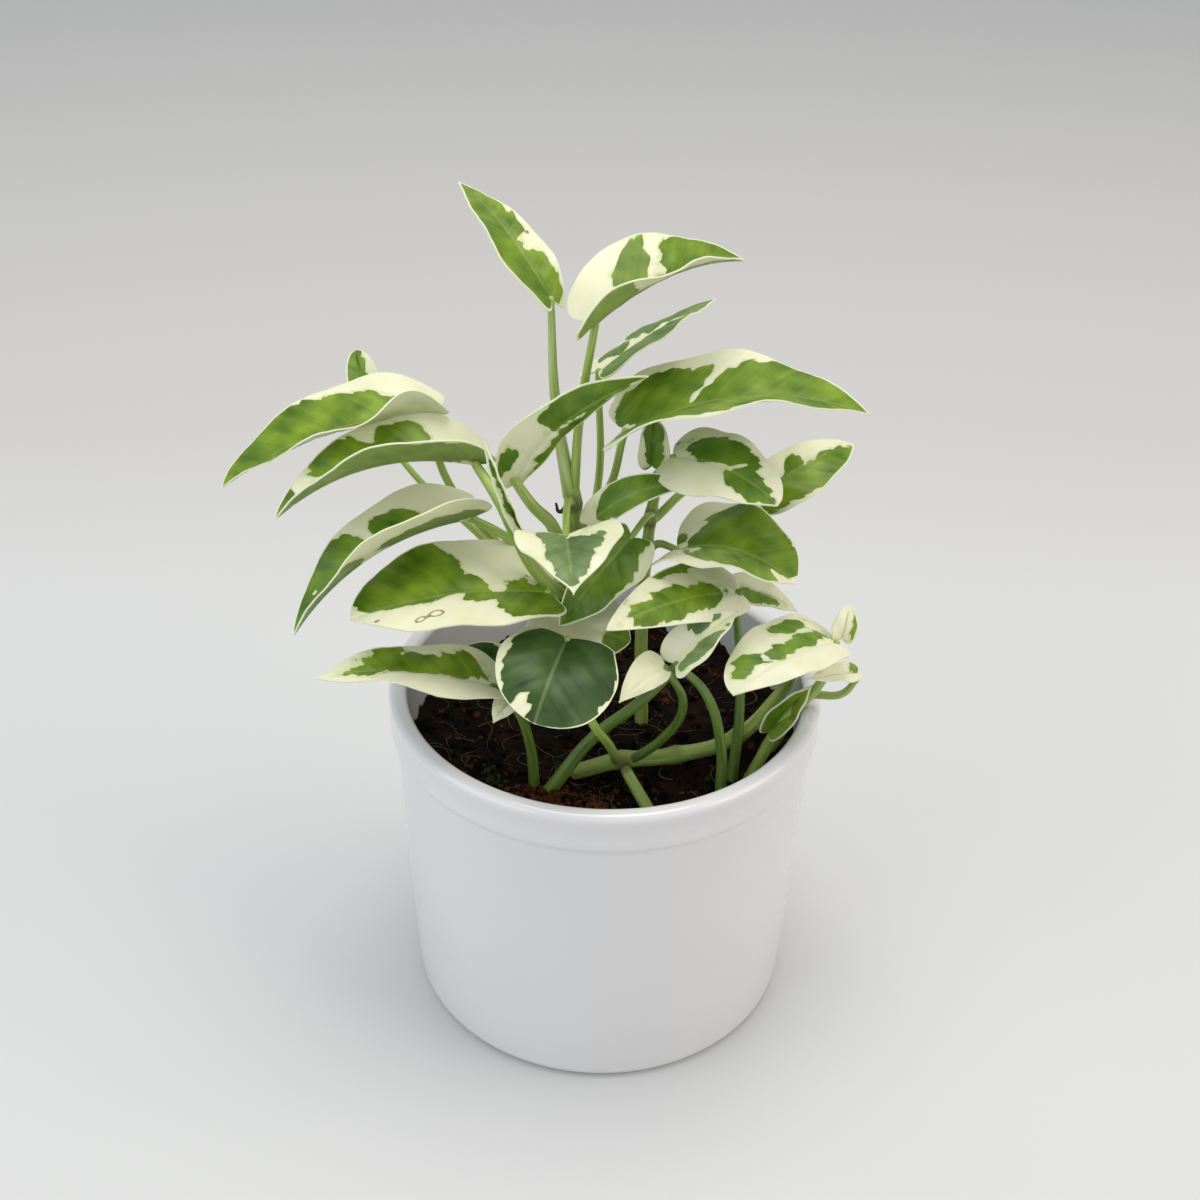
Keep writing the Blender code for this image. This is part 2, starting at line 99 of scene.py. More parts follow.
def set_camera():
    data = bpy.data.cameras.new("studio_camera")
    data.lens = LENS
    data.sensor_width = SENSOR
    data.clip_start = 0.01
    camera = bpy.data.objects.new("studio_camera", data)
    bpy.context.scene.collection.objects.link(camera)
    yaw, pitch, roll = (math.radians(a) for a in (CAMERA_YAW, CAMERA_PITCH, CAMERA_ROLL))
    ahead = Vector((math.sin(yaw) * math.cos(pitch), math.cos(yaw) * math.cos(pitch), -math.sin(pitch)))
    right = Vector((math.cos(yaw), -math.sin(yaw), 0))
    above = right.cross(ahead)
    x = math.cos(roll) * right + math.sin(roll) * above
    y = -math.sin(roll) * right + math.cos(roll) * above
    turn = Matrix((x, y, -ahead)).transposed().to_4x4()
    camera.matrix_world = Matrix.Translation(CAMERA_PLACE) @ turn
    bpy.context.scene.camera = camera


# ---------------------------------------------------------------- materials

# Sockets of a Mix node that mixes colours: its share, the two colours and the result.
SHARE, FIRST, SECOND, MIXED = 0, 6, 7, 2


def linear(colour):
    """An sRGB hex colour as linear red, green, blue and alpha."""
    parts = [int(colour[i:i + 2], 16) / 255 for i in (1, 3, 5)]
    return (*[c / 12.92 if c <= 0.04045 else ((c + 0.055) / 1.055) ** 2.4 for c in parts], 1.0)


def node(tree, kind, inputs=(), **settings):
    """Adds a shader node with its settings, and its sockets' values or links."""
    made = tree.nodes.new("ShaderNode" + kind)
    for key, value in settings.items():
        setattr(made, key, value)
    for socket, value in dict(inputs).items():
        if isinstance(value, bpy.types.NodeSocket):
            tree.links.new(value, made.inputs[socket])
        else:
            made.inputs[socket].default_value = value
    return made


def new_material(name):
    made = bpy.data.materials.new(name)
    made.use_nodes = True
    made.node_tree.nodes.clear()
    return made, made.node_tree


def finish_material(tree, sockets):
    shader = node(tree, "BsdfPrincipled", sockets)
    node(tree, "OutputMaterial", {"Surface": shader.outputs[0]})


def blade_material(name, deep, bright, roughness, under=False):
    """Living pothos leaf, as it grew: a thin waxed skin over soft flesh.

    The wax gives a satin shine that slides over each wave, and the flesh glows a little where it is
    lit from behind. Cream is flesh with no green in it, so the two meet in a sharp, ragged line.
    """
    made, tree = new_material(name)
    field = node(tree, "Attribute", attribute_name="green_mm").outputs["Fac"]
    margin = node(tree, "Attribute", attribute_name="margin_mm").outputs["Fac"]
    nick = node(tree, "Attribute", attribute_name="nick_mm").outputs["Fac"]
    place = node(tree, "UVMap", uv_map="blade_mm").outputs["UV"]
    xy = node(tree, "SeparateXYZ", {0: place})
    out = node(tree, "Math", {0: xy.outputs["Y"]}, operation="ABSOLUTE").outputs[0]
    vein = node(tree, "Math", {0: out, 1: -VEIN_SLANT, 2: xy.outputs["X"]},
                operation="MULTIPLY_ADD").outputs[0]
    along = node(tree, "CombineXYZ", {0: vein, 1: xy.outputs["Y"], 2: 0.0}).outputs[0]

    # Three noises along the side veins, per millimetre: patches of 6 x 10 mm, teeth of about 3 mm
    # on the green's edge, and streaks of 3 x 14 mm.
    noises = []
    for scale, detail, rough in (((0.17, 0.10, 1), 1.0, 0.5), ((0.42, 0.34, 1), 1.5, 0.4),
                                 ((0.33, 0.07, 1), 3.0, 0.5)):
        at = node(tree, "VectorMath", {0: along, 1: scale}, operation="MULTIPLY").outputs[0]
        noises.append(node(tree, "TexNoise", {"Vector": at, "Scale": 1.0, "Detail": detail,
                                              "Roughness": rough}).outputs["Fac"])
    coarse, fine, streak = noises

    # The green's edge: its drawn ovals, moved in and out by the two coarser noises.
    ragged = node(tree, "Math", {0: coarse, 1: 4.6, 2: -2.3}, operation="MULTIPLY_ADD").outputs[0]
    ragged = node(tree, "Math", {0: ragged, 1: field}, operation="ADD").outputs[0]
    small = node(tree, "Math", {0: fine, 1: 2.4, 2: -1.2}, operation="MULTIPLY_ADD").outputs[0]
    edge = node(tree, "Math", {0: small, 1: ragged}, operation="ADD").outputs[0]
    green = node(tree, "MapRange", {"Value": edge, "From Min": -0.1, "From Max": 0.1},
                 interpolation_type="SMOOTHSTEP").outputs[0]

    # Cream, with tones about 11 mm wide, and a faint grey-green halo just outside the green.
    halo = node(tree, "MapRange", {"Value": edge, "From Min": -0.9, "From Max": -0.2},
                interpolation_type="SMOOTHSTEP").outputs[0]
    halo = node(tree, "Math", {0: halo, 1: coarse}, operation="MULTIPLY").outputs[0]
    cloud = node(tree, "TexNoise", {"Vector": place, "Scale": 0.09, "Detail": 2.0}).outputs["Fac"]
    cream = node(tree, "Mix", {SHARE: cloud, FIRST: linear("#f4f1da"), SECOND: linear("#dfdfb0")},
                 data_type="RGBA").outputs[MIXED]
    cream = node(tree, "Mix", {SHARE: halo, FIRST: cream, SECOND: linear("#c3cf93")},
                 data_type="RGBA").outputs[MIXED]

    # Side veins show a shade darker through the green, here and there.
    bent = node(tree, "Math", {0: fine, 1: 2.2, 2: vein}, operation="MULTIPLY_ADD").outputs[0]
    wave = node(tree, "Math", {0: bent, 1: VEIN_TURN}, operation="MULTIPLY").outputs[0]
    wave = node(tree, "Math", {0: wave}, operation="SINE").outputs[0]
    line = node(tree, "Math", {0: wave}, operation="ABSOLUTE").outputs[0]
    line = node(tree, "MapRange", {"Value": line, "From Min": 0.0, "From Max": 0.11,
                                   "To Min": 0.75, "To Max": 0.0},
                interpolation_type="SMOOTHSTEP").outputs[0]
    line = node(tree, "Math", {0: line, 1: coarse}, operation="MULTIPLY").outputs[0]

    # Green, from deep to bright in patches and streaks, paler on the midrib.
    share = node(tree, "MapRange", {"Value": cloud, "From Min": 0.32, "From Max": 0.68}).outputs[0]
    share = node(tree, "Math", {0: streak, 1: 1.2, 2: share}, operation="MULTIPLY_ADD").outputs[0]
    share = node(tree, "MapRange", {"Value": share, "From Min": 0.55, "From Max": 1.65}).outputs[0]
    leaf_green = node(tree, "Mix", {SHARE: share, FIRST: linear(deep), SECOND: linear(bright)},
                      data_type="RGBA").outputs[MIXED]
    dark_line = node(tree, "Mix", {SHARE: 0.55, FIRST: leaf_green, SECOND: linear("#22380f")},
                     data_type="RGBA").outputs[MIXED]
    leaf_green = node(tree, "Mix", {SHARE: line, FIRST: leaf_green, SECOND: dark_line},
                      data_type="RGBA").outputs[MIXED]
    rib = node(tree, "MapRange", {"Value": out, "From Min": 0.25, "From Max": 0.75,
                                  "To Min": 0.18, "To Max": 0.0},
               interpolation_type="SMOOTHSTEP").outputs[0]
    leaf_green = node(tree, "Mix", {SHARE: rib, FIRST: leaf_green, SECOND: linear("#b9c77c")},
                      data_type="RGBA").outputs[MIXED]
    body = node(tree, "Mix", {SHARE: green, FIRST: cream, SECOND: leaf_green},
                data_type="RGBA").outputs[MIXED]

    # A pale hem about 0.4 mm wide runs round the margin, and a healed nick has a brown rim.
    hem = node(tree, "MapRange", {"Value": margin, "From Min": 0.28, "From Max": 0.5,
                                  "To Min": 1.0, "To Max": 0.0},
               interpolation_type="SMOOTHSTEP").outputs[0]
    body = node(tree, "Mix", {SHARE: hem, FIRST: body, SECOND: linear("#e6e8c4")},
                data_type="RGBA").outputs[MIXED]
    nick = node(tree, "Math", {0: nick}, operation="ABSOLUTE").outputs[0]
    scar = node(tree, "MapRange", {"Value": nick, "From Min": 0.16, "From Max": 0.36,
                                   "To Min": 0.75, "To Max": 0.0},
                interpolation_type="SMOOTHSTEP").outputs[0]
    body = node(tree, "Mix", {SHARE: scar, FIRST: body, SECOND: linear("#6a5138")},
                data_type="RGBA").outputs[MIXED]
    if under:
        # The underside has less wax and looks milkier.
        body = node(tree, "Mix", {SHARE: 0.18, FIRST: body, SECOND: linear("#b7c48c")},
                    data_type="RGBA").outputs[MIXED]
    relief = node(tree, "Math", {0: fine, 1: 0.5, 2: wave}, operation="MULTIPLY_ADD").outputs[0]
    bump = node(tree, "Bump", {"Height": relief, "Strength": 0.16, "Distance": 0.0005}).outputs[0]
    finish_material(tree, {"Base Color": body, "Roughness": roughness, "Normal": bump,
                           "Subsurface Weight": 0.08, "Subsurface Scale": 0.001,
                           "Subsurface Radius": (0.8, 1.0, 0.3), "Specular IOR Level": 0.28})
    return made


def stem_material(name, pale, deep, roughness):
    """Pothos stem, as it grew: a thin waxed skin over wet flesh, drawn out in long fibres.

    It gives fine pale and dark stripes along the stem, 2 mm wide and 20 mm long, and a soft shine
    down its lit side. Old leaf scars ring the joints in brown, and bark on a root is dull.
    """
    made, tree = new_material(name)
    place = node(tree, "UVMap", uv_map="stem_mm").outputs["UV"]
    stretched = node(tree, "VectorMath", {0: place, 1: (0.05, 0.5, 1)}, operation="MULTIPLY").outputs[0]
    stripe = node(tree, "TexNoise", {"Vector": stretched, "Scale": 1.0, "Detail": 3.0}).outputs["Fac"]
    stripe = node(tree, "MapRange", {"Value": stripe, "From Min": 0.3, "From Max": 0.7}).outputs[0]
    body = node(tree, "Mix", {SHARE: stripe, FIRST: linear(deep), SECOND: linear(pale)},
                data_type="RGBA").outputs[MIXED]
    scar = node(tree, "Attribute", attribute_name="scar").outputs["Fac"]
    body = node(tree, "Mix", {SHARE: scar, FIRST: body, SECOND: linear("#5d5a2a")},
                data_type="RGBA").outputs[MIXED]
    bump = node(tree, "Bump", {"Height": stripe, "Strength": 0.06, "Distance": 0.0002}).outputs[0]
    finish_material(tree, {"Base Color": body, "Roughness": roughness, "Normal": bump,
                           "Subsurface Weight": 0.12, "Subsurface Scale": 0.0015,
                           "Subsurface Radius": (0.8, 1.0, 0.3)})
    return made


def glaze_material():
    """Earthenware, thrown and dipped in white glaze before its second firing.

    The glaze melts to a smooth clear coat over a nearly even white, so the eye gets wide soft
    highlights, a faint drift of tone about 45 mm wide, and no grain. Its ripple is 1 mm on the
    real pot, and is drawn 4 mm wide so that it shows.
    """
    made, tree = new_material("glazed_earthenware")
    place = node(tree, "TexCoord").outputs["Object"]
    cloud = node(tree, "TexNoise", {"Vector": place, "Scale": 22.0, "Detail": 2.0}).outputs["Fac"]
    body = node(tree, "Mix", {SHARE: cloud, FIRST: linear("#e2dfde"), SECOND: linear("#dad8d8")},
                data_type="RGBA").outputs[MIXED]
    # The inner wall is painted dark brown from below the bed to about 3 mm above it, in blots
    # about 7 mm wide.
    xyz = node(tree, "SeparateXYZ", {0: place})
    flat = node(tree, "CombineXYZ", {0: xyz.outputs["X"], 1: xyz.outputs["Y"], 2: 0.0}).outputs[0]
    radius = node(tree, "VectorMath", {0: flat}, operation="LENGTH").outputs["Value"]
    within = node(tree, "Math", {0: radius, 1: (POT_RADIUS - WALL + 0.6) * MM},
                  operation="LESS_THAN").outputs[0]
    blot = node(tree, "TexNoise", {"Vector": place, "Scale": 140.0, "Detail": 5.0}).outputs["Fac"]
    blot = node(tree, "Math", {0: blot, 1: 0.02, 2: SOIL_TOP * MM - 0.008},
                operation="MULTIPLY_ADD").outputs[0]
    inner_darkening = node(tree, "Math", {0: xyz.outputs["Z"], 1: blot}, operation="LESS_THAN").outputs[0]
    inner_darkening = node(tree, "Math", {0: inner_darkening, 1: within}, operation="MULTIPLY").outputs[0]
    above_foot = node(tree, "Math", {0: xyz.outputs["Z"], 1: (SOIL_TOP - 16) * MM},
                      operation="GREATER_THAN").outputs[0]
    inner_darkening = node(tree, "Math", {0: inner_darkening, 1: above_foot}, operation="MULTIPLY").outputs[0]
    body = node(tree, "Mix", {SHARE: inner_darkening, FIRST: body, SECOND: linear("#2a1c12")},
                data_type="RGBA").outputs[MIXED]
    ripple = node(tree, "TexNoise", {"Vector": place, "Scale": 260.0, "Detail": 1.0}).outputs["Fac"]
    bump = node(tree, "Bump", {"Height": ripple, "Strength": 0.05, "Distance": 0.0003}).outputs[0]
    rough = node(tree, "MapRange", {"Value": cloud, "To Min": 0.3, "To Max": 0.38}).outputs[0]
    finish_material(tree, {"Base Color": body, "Roughness": rough, "Normal": bump,
                           "Coat Weight": 0.9, "Coat Roughness": 0.12})
    return made


def soil_material(name, dark, warm, grit_per_metre):
    """Damp peat and coir, milled, mixed and pressed in loosely by hand.

    Its grains swallow the light, so it is matt and nearly black, with warm patches about 11 mm
    wide where the coir lies on top, and the gaps between the grains are painted near-black as
    shade. The grit is about 0.7 mm.
    """
    made, tree = new_material(name)
    place = node(tree, "TexCoord").outputs["Object"]
    patch = node(tree, "TexNoise", {"Vector": place, "Scale": 90.0, "Detail": 4.0}).outputs["Fac"]
    grit = node(tree, "TexNoise", {"Vector": place, "Scale": grit_per_metre, "Detail": 6.0,
                                   "Roughness": 0.7}).outputs["Fac"]
    share = node(tree, "MapRange", {"Value": patch, "From Min": 0.48, "From Max": 0.68}).outputs[0]
    body = node(tree, "Mix", {SHARE: share, FIRST: linear(dark), SECOND: linear(warm)},
                data_type="RGBA").outputs[MIXED]
    # Painted shade: the low spots of the grit, the gaps between grains, are mixed to near-black.
    lit = node(tree, "MapRange", {"Value": grit, "From Min": 0.35, "From Max": 0.7}).outputs[0]
    body = node(tree, "Mix", {SHARE: lit, FIRST: linear("#0c0806"), SECOND: body},
                data_type="RGBA").outputs[MIXED]
    bump = node(tree, "Bump", {"Height": grit, "Strength": 0.9, "Distance": 0.0012}).outputs[0]
    finish_material(tree, {"Base Color": body, "Roughness": 0.92, "Normal": bump,
                           "Specular IOR Level": 0.15})
    return made


def floor_material():
    """Matt card, rolled from paper pulp.

    It scatters light evenly, so it shows soft shadows and no shine, and it is painted a little
    darker towards the back, as painted shade. Its tooth is drawn about 1 mm wide, coarser than
    the real 0.2 mm, to show.
    """
    made, tree = new_material("card_sweep")
    place = node(tree, "TexCoord").outputs["Object"]
    y = node(tree, "SeparateXYZ", {0: place}).outputs["Y"]
    # Painted shade: the card darkens a little towards the back.
    back = node(tree, "MapRange", {"Value": y, "From Min": 0.16, "From Max": 0.40},
                interpolation_type="SMOOTHSTEP").outputs[0]
    body = node(tree, "Mix", {SHARE: back, FIRST: linear("#d6d6d4"), SECOND: linear("#cfccc8")},
                data_type="RGBA").outputs[MIXED]
    tooth = node(tree, "TexNoise", {"Vector": place, "Scale": 900.0, "Detail": 2.0}).outputs["Fac"]
    bump = node(tree, "Bump", {"Height": tooth, "Strength": 0.05, "Distance": 0.0002}).outputs[0]
    finish_material(tree, {"Base Color": body, "Roughness": 0.75, "Normal": bump})
    return made


# ---------------------------------------------------------------- shaping

def clear_selection():
    if bpy.context.mode != "OBJECT":
        bpy.ops.object.mode_set(mode="OBJECT")
    bpy.ops.object.select_all(action="DESELECT")


def pick(piece):
    clear_selection()
    piece.select_set(True)
    bpy.context.view_layer.objects.active = piece


def edit_whole(piece, operator, **settings):
    """Runs one edit-mode operator on the whole of a piece."""
    pick(piece)
    bpy.ops.object.mode_set(mode="EDIT")
    bpy.ops.mesh.select_all(action="SELECT")
    operator(**settings)
    bpy.ops.object.mode_set(mode="OBJECT")


def weld(piece, distance=1e-6):
    edit_whole(piece, bpy.ops.mesh.remove_doubles, threshold=distance)


def face_out(piece):
    edit_whole(piece, bpy.ops.mesh.normals_make_consistent, inside=False)


def smooth(piece, angle):
    pick(piece)
    bpy.ops.object.shade_smooth_by_angle(angle=math.radians(angle))


def grid(name, columns, rows):
    """A flat sheet of columns x rows quads, one metre across, to be shaped point by point."""
    clear_selection()
    bpy.ops.mesh.primitive_grid_add(x_subdivisions=columns, y_subdivisions=rows, size=1,
                                    location=(0, 0, 0))
    sheet = bpy.context.object
    sheet.name = name
    sheet.data.name = name
    return sheet


def write_uv(piece, name, values):
    """Gives the piece a UV map of millimetres: one value for each vertex before any weld."""
    for layer in list(piece.data.uv_layers):
        piece.data.uv_layers.remove(layer)
    layer = piece.data.uv_layers.new(name=name)
    for loop in piece.data.loops:
        layer.data[loop.index].uv = values[loop.vertex_index]


def write_values(piece, name, values):
    """Gives each vertex of the piece a number that its material reads."""
    piece.data.attributes.new(name, "FLOAT", "POINT").data.foreach_set("value", values)


def on_soil(point):
    """A plant point, from millimetres above the soil to metres in the pot's frame."""
    return Vector((point[0], point[1], point[2] + SOIL_TOP)) * MM


def put_in(piece, slot, *nodes):
    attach(piece, "root")
    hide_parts(*nodes)


def ride_in(piece):
    """For a piece that no CAD node stands for."""
    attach(piece, "root")


PLAIN_NAMES = {"leaf": "blade", "petiole": "stalk", "vine": "runner", "stub": "cut_runner"}


def plain_name(node_name):
    kind, rest = node_name.split("_", 1)
    return PLAIN_NAMES[kind] + "_" + rest


# Half of a blade's outline, as in the part: where a row starts on the midrib, how far out its
# margin point is, and where along the blade that point lies.
OUTLINE = (
    (0.00, 0.17, -0.03),
    (0.02, 0.55, -0.06),
    (0.09, 0.88, 0.05),
    (0.23, 1.00, 0.21),
    (0.41, 0.92, 0.41),
    (0.59, 0.71, 0.61),
    (0.76, 0.43, 0.79),
    (0.90, 0.17, 0.92),
    (1.00, 0.00, 1.00),
)
WIDEST_ROW = 3


def outline_at(k):
    """The outline between its rows, on a smooth curve through them."""
    i = min(int(k), len(OUTLINE) - 2)
    f = k - i
    rows = [OUTLINE[max(0, i - 1)], OUTLINE[i], OUTLINE[i + 1], OUTLINE[min(len(OUTLINE) - 1, i + 2)]]
    found = []
    for a, b, c, d in zip(*rows):
        found.append(b + 0.5 * f * (c - a + f * (2 * a - 5 * b + 4 * c - d + f * (3 * (b - c) + d - a))))
    return found


class Blade:
    """The surface of one leaf, from its midrib, its width and how each half folds."""

    def __init__(self, base, tip, width, face, arch, sweep, left, right, curls):
        self.base = on_soil(base)
        self.tip = on_soil(tip)
        along = (self.tip - self.base).normalized()
        up = Vector(face)
        up = (up - up.dot(along) * along).normalized()
        side = up.cross(along)
        self.bow = (self.base + self.tip) / 2 + (arch * up + sweep * side) * 2 * MM
        self.up = up
        self.half = width * MM / 2
        self.length = (self.tip - self.base).length
        self.folds = {1: left, -1: right}
        self.curls = curls

    def midrib(self, t):
        """Place and direction of the midrib at t, which runs straight on behind the base."""
        if t < 0:
            slope = 2 * (self.bow - self.base)
            return self.base + slope * t, slope.normalized()
        place = (1 - t) ** 2 * self.base + 2 * t * (1 - t) * self.bow + t * t * self.tip
        slope = (1 - t) * (self.bow - self.base) + t * (self.tip - self.bow)
        return place, slope.normalized()

    def at(self, side, out, t, rise):
        """The point at t along and out across on one side (1 left, -1 right), raised by rise."""
        place, slope = self.midrib(t)
        up = (self.up - self.up.dot(slope) * slope).normalized()
        across = side * up.cross(slope)
        root, margin = self.folds[side]
        for half, middle, spread, more in self.curls:
            if half == side:
                margin += more * math.exp(-((t - middle) / spread) ** 2)
        steps = 8
        angle = math.radians(root)
        for i in range(steps):
            q = out * (i + 0.5) / steps
            angle = math.radians(root + (margin - root) * q)
            place = place + (math.cos(angle) * across + math.sin(angle) * up) * (self.half * out / steps)
        normal = math.cos(angle) * up - math.sin(angle) * across
        return place + normal * rise


def reach_into(blade, t, out, ovals):
    """How far inside the nearest of the ovals a point of the blade is, in millimetres."""
    length, half = blade.length / MM, blade.half / MM
    far_outside = -8.0
    best = far_outside
    for middle, across, long, wide, *turned in ovals:
        dx, dy = (t - middle) * length, (out - across) * half
        turn = math.radians(turned[0]) if turned else 0.0
        c, s = math.cos(turn), math.sin(turn)
        a, b = (dx * c + dy * s) / (long * length), (dy * c - dx * s) / (wide * half)
        best = max(best, (1 - math.hypot(a, b)) * min(long * length, wide * half))
    return best


# A healed nick in the cream of one blade, as small ovals with brown rims.
NICK = ((0.66, 0.52, 0.026, 0.055, 15), (0.58, 0.47, 0.036, 0.065, 8), (0.87, 0.3, 0.01, 0.03))
NO_NICK = 9.0


def leaf(name, base, tip, width, face=(0, 0, 1), arch=5.0, sweep=0.0, left=(10, 20), right=(10, 20),
         belly=1.0, full=(1, 1), wide=(1, 1), lobe=(1, 1), back=(0, 0), curls=(), green=(), cream=(),
         scar=False, look="bright", slot="leaf_mixed", wave=1.0, waves=2.3, phase=0.0):
    """One blade: a sheet that folds at its midrib and waves at its margin, then thickened.

    base and tip are the midrib's ends, above the soil, and face is the way the upper side looks.
    arch and sweep bow the midrib up and sideways. left and right lift each half, in degrees at the
    midrib and at the margin, and each of curls lifts a margin further: side, place, spread, more.
    belly under 1 moves the widest place to the tip. full, wide, lobe and back each give the left
    and right half's fullness, width, base lobe's width and how far that lobe lies back.
    green and cream are ovals: along, across, half length, half width, turn, as shares of the blade.
    wave is the margin's height in millimetres, waves their number and phase their start.
    """
    blade = Blade(base, tip, width, face, arch, sweep, left, right, curls)
    length, half = blade.length / MM, blade.half / MM
    sheet = grid(plain_name(name), BLADE_COLUMNS, BLADE_ROWS)
    millimetres, fields, margins, nicks = [], [], [], []
    for vert in sheet.data.vertices:
        share, v = vert.co.x + 0.5, (vert.co.y + 0.5) * 2 - 1
        side = 1 if v >= 0 else -1
        which = 0 if side > 0 else 1
        q = abs(v)
        k = share * (len(OUTLINE) - 1)
        rib, out, along = outline_at(k)
        rib = max(0.0, rib) ** belly
        along = along ** belly if along > 0 else along
        t = rib + (along - rib) * q ** 1.33
        t -= back[which] * q * max(0.0, 1 - share * 3)
        out = max(0.0, out)
        if k > WIDEST_ROW:
            out = min(1.02, out ** full[which])
        else:
            out *= lobe[which] + (1 - lobe[which]) * k / WIDEST_ROW
        out *= wide[which]
        reach = out * q
        # The margin waves, the blade swells between its side veins, and the midrib sinks.
        lift = wave * q ** 3 * math.sin(math.tau * (t * waves + 0.13 * side) + phase)
        lift *= min(1.0, out * 1.6)
        swell = abs(math.sin((t * length - VEIN_SLANT * reach * half) * VEIN_TURN)) ** 0.7
        lift += VEIN_SWELL * swell * (1 - 0.6 * q) * min(1.0, q * 4) * min(1.0, out * 2)
        lift -= MIDRIB_SINK * math.exp(-(q * 9) ** 2) * (1 - t * 0.7)
        across = side * reach
        vert.co = blade.at(side, reach, t, lift * MM)
        millimetres.append((t * length, across * half))
        inside = reach_into(blade, t, across, green)
        fields.append(min(inside, -reach_into(blade, t, across, cream)) if cream else inside)
        margins.append((1 - q) * out * half)
        nicks.append(reach_into(blade, t, across, NICK) if scar else NO_NICK)
    write_uv(sheet, "blade_mm", millimetres)
    write_values(sheet, "green_mm", fields)
    write_values(sheet, "margin_mm", margins)
    write_values(sheet, "nick_mm", nicks)
    weld(sheet, 2e-5)
    # The sheet's faces look along its own up, so that the first skin is the upper one.
    if sheet.data.polygons[len(sheet.data.polygons) // 2].normal.dot(blade.up) < 0:
        edit_whole(sheet, bpy.ops.mesh.flip_normals)
    # look picks the skins in full light, or a copy that carries painted shade or painted sheen.
    for skin in LEAF_SKINS[look]:
        sheet.data.materials.append(skin)
    thick = sheet.modifiers.new("thickness", "SOLIDIFY")
    thick.thickness = BLADE_THICKNESS * MM
    thick.offset = 0.0
    thick.material_offset = 1
    pick(sheet)
    bpy.ops.object.modifier_apply(modifier="thickness")
    smooth(sheet, 60)
    put_in(sheet, slot, name)


def handles(places):
    """Left and right handles of a smooth curve through the points, as a curve object's own."""
    found = []
    for i, p in enumerate(places):
        before = places[i - 1] if i else 2 * p - places[i + 1]
        after = places[i + 1] if i < len(places) - 1 else 2 * p - places[i - 1]
        a, b = p - before, after - p
        way = a / a.length + b / b.length
        # The share that makes an arc of four such spans nearly a circle.
        size = way.length * 2.5614
        found.append((p - way * (a.length / size), p + way * (b.length / size)))
    return found


def curve_points(places, girths, straight_foot, per_span):
    """Places and radii along a smooth curve through the points."""
    marks = handles(places)
    found = []
    for i in range(len(places) - 1):
        a, b, c, d = places[i], marks[i][1], marks[i + 1][0], places[i + 1]
        if straight_foot and i == 0:
            b, c = a + (d - a) / 3, d + (a - d) / 3
        steps = per_span if i < len(places) - 2 else per_span + 1
        for s in range(steps):
            f = s / per_span
            g = 1 - f
            place = g ** 3 * a + 3 * g * g * f * b + 3 * g * f * f * c + f ** 3 * d
            found.append((place, girths[i] * g + girths[i + 1] * f))
    return found


def dome(place, girth, near):
    """Rings that close a tube's end, away from the spine's next point."""
    rings, height = 3, 0.9
    way = (place - near).normalized()
    found = []
    for k in range(1, rings + 1):
        a = math.pi / 2 * k / rings
        found.append((place + way * math.sin(a) * girth * height, max(girth * math.cos(a), 0.0)))
    return found


def tube(name, spine, around=STEM_SIDES):
    """A round body along a spine of (place, radius), closed with a dome at each end."""
    line = dome(*spine[0], spine[1][0])[::-1] + spine + dome(*spine[-1], spine[-2][0])
    piece = grid(name, len(line) - 1, around)
    frames = []
    up = Vector((0.3, -0.8, 0.5))
    travelled = 0.0
    for i, (place, girth) in enumerate(line):
        ahead = line[min(i + 1, len(line) - 1)][0] - line[max(i - 1, 0)][0]
        way = ahead.normalized()
        up = (up - up.dot(way) * way).normalized()
        if i:
            travelled += (place - line[i - 1][0]).length / MM
        frames.append((place, up, way.cross(up), girth, travelled))
    millimetres = []
    for vert in piece.data.vertices:
        place, y, z, girth, length = frames[round((vert.co.x + 0.5) * (len(line) - 1))]
        a = (vert.co.y + 0.5) * math.tau
        millimetres.append((length, a * STEM_RADIUS))
        vert.co = place + (math.cos(a) * y + math.sin(a) * z) * girth
    write_uv(piece, "stem_mm", millimetres)
    return piece


def stem(name, points, radii, joints=(), skin="stem", reach=13, cut=()):
    """A vine or petiole along its points above the soil, with a radius at each of them.

    It swells at each of joints, where a petiole leaves it. reach is the most that a foot may run
    on under the soil, and cut holds the indexes of the points where the stem was cut off.
    """
    places = [on_soil(p) for p in points]
    if name in FEET:
        # Below the soil a foot runs on the way it comes up, and a vine that lies flat stops short.
        way = (places[1] - places[2]).normalized()
        places[0] = places[1] + way * min(10.5 * MM / max(-way.z, 0.1), reach * MM)
    girths = [r * MM for r in radii]
    shaped = []
    for place, girth in curve_points(places, girths, name in FEET, 10):
        swell = 0.0
        for joint in joints:
            away = (place - on_soil(joint)).length / MM
            swell = max(swell, math.exp(-(away / JOINT_LENGTH) ** 2))
        shaped.append((place, girth * (1 + JOINT_SWELL * swell)))
    piece = tube(plain_name(name), shaped)
    # A brown ring 3 mm from each joint, about 1 mm wide, and a brown face on a cut end.
    scars = []
    for vert in piece.data.vertices:
        mark = 0.0
        for joint in joints:
            away = abs((vert.co - on_soil(joint)).length / MM - 3.0)
            mark = max(mark, 0.8 * math.exp(-(away / 0.5) ** 2))
        for end in cut:
            if (vert.co - places[end]).length < girths[end] * 1.06:
                mark = 0.75
        scars.append(mark)
    write_values(piece, "scar", scars)
    weld(piece)
    face_out(piece)
    piece.data.materials.append(SKINS[skin])
    smooth(piece, 60)
    put_in(piece, "stem", name)


# Where each stem comes out of the soil.
FEET = {
    "vine_centre": (-2, 20), "vine_left": (-14, 14), "vine_back": (12, 6), "vine_right": (-6, -21),
    "petiole_centre_low": (-15, -29), "petiole_rim_left": (-21, -27), "petiole_white_right": (36, -30),
    "petiole_back_right": (40, -21), "petiole_right_front": (46, -21), "petiole_right_edge": (53, -8),
    "stub_front": (12, -34),
}


def foot(name):
    """The first two points of a stem, straight up through the soil's top."""
    x, y = FEET[name]
    return [(x, y, -8), (x, y, 2.5)]


set_camera()
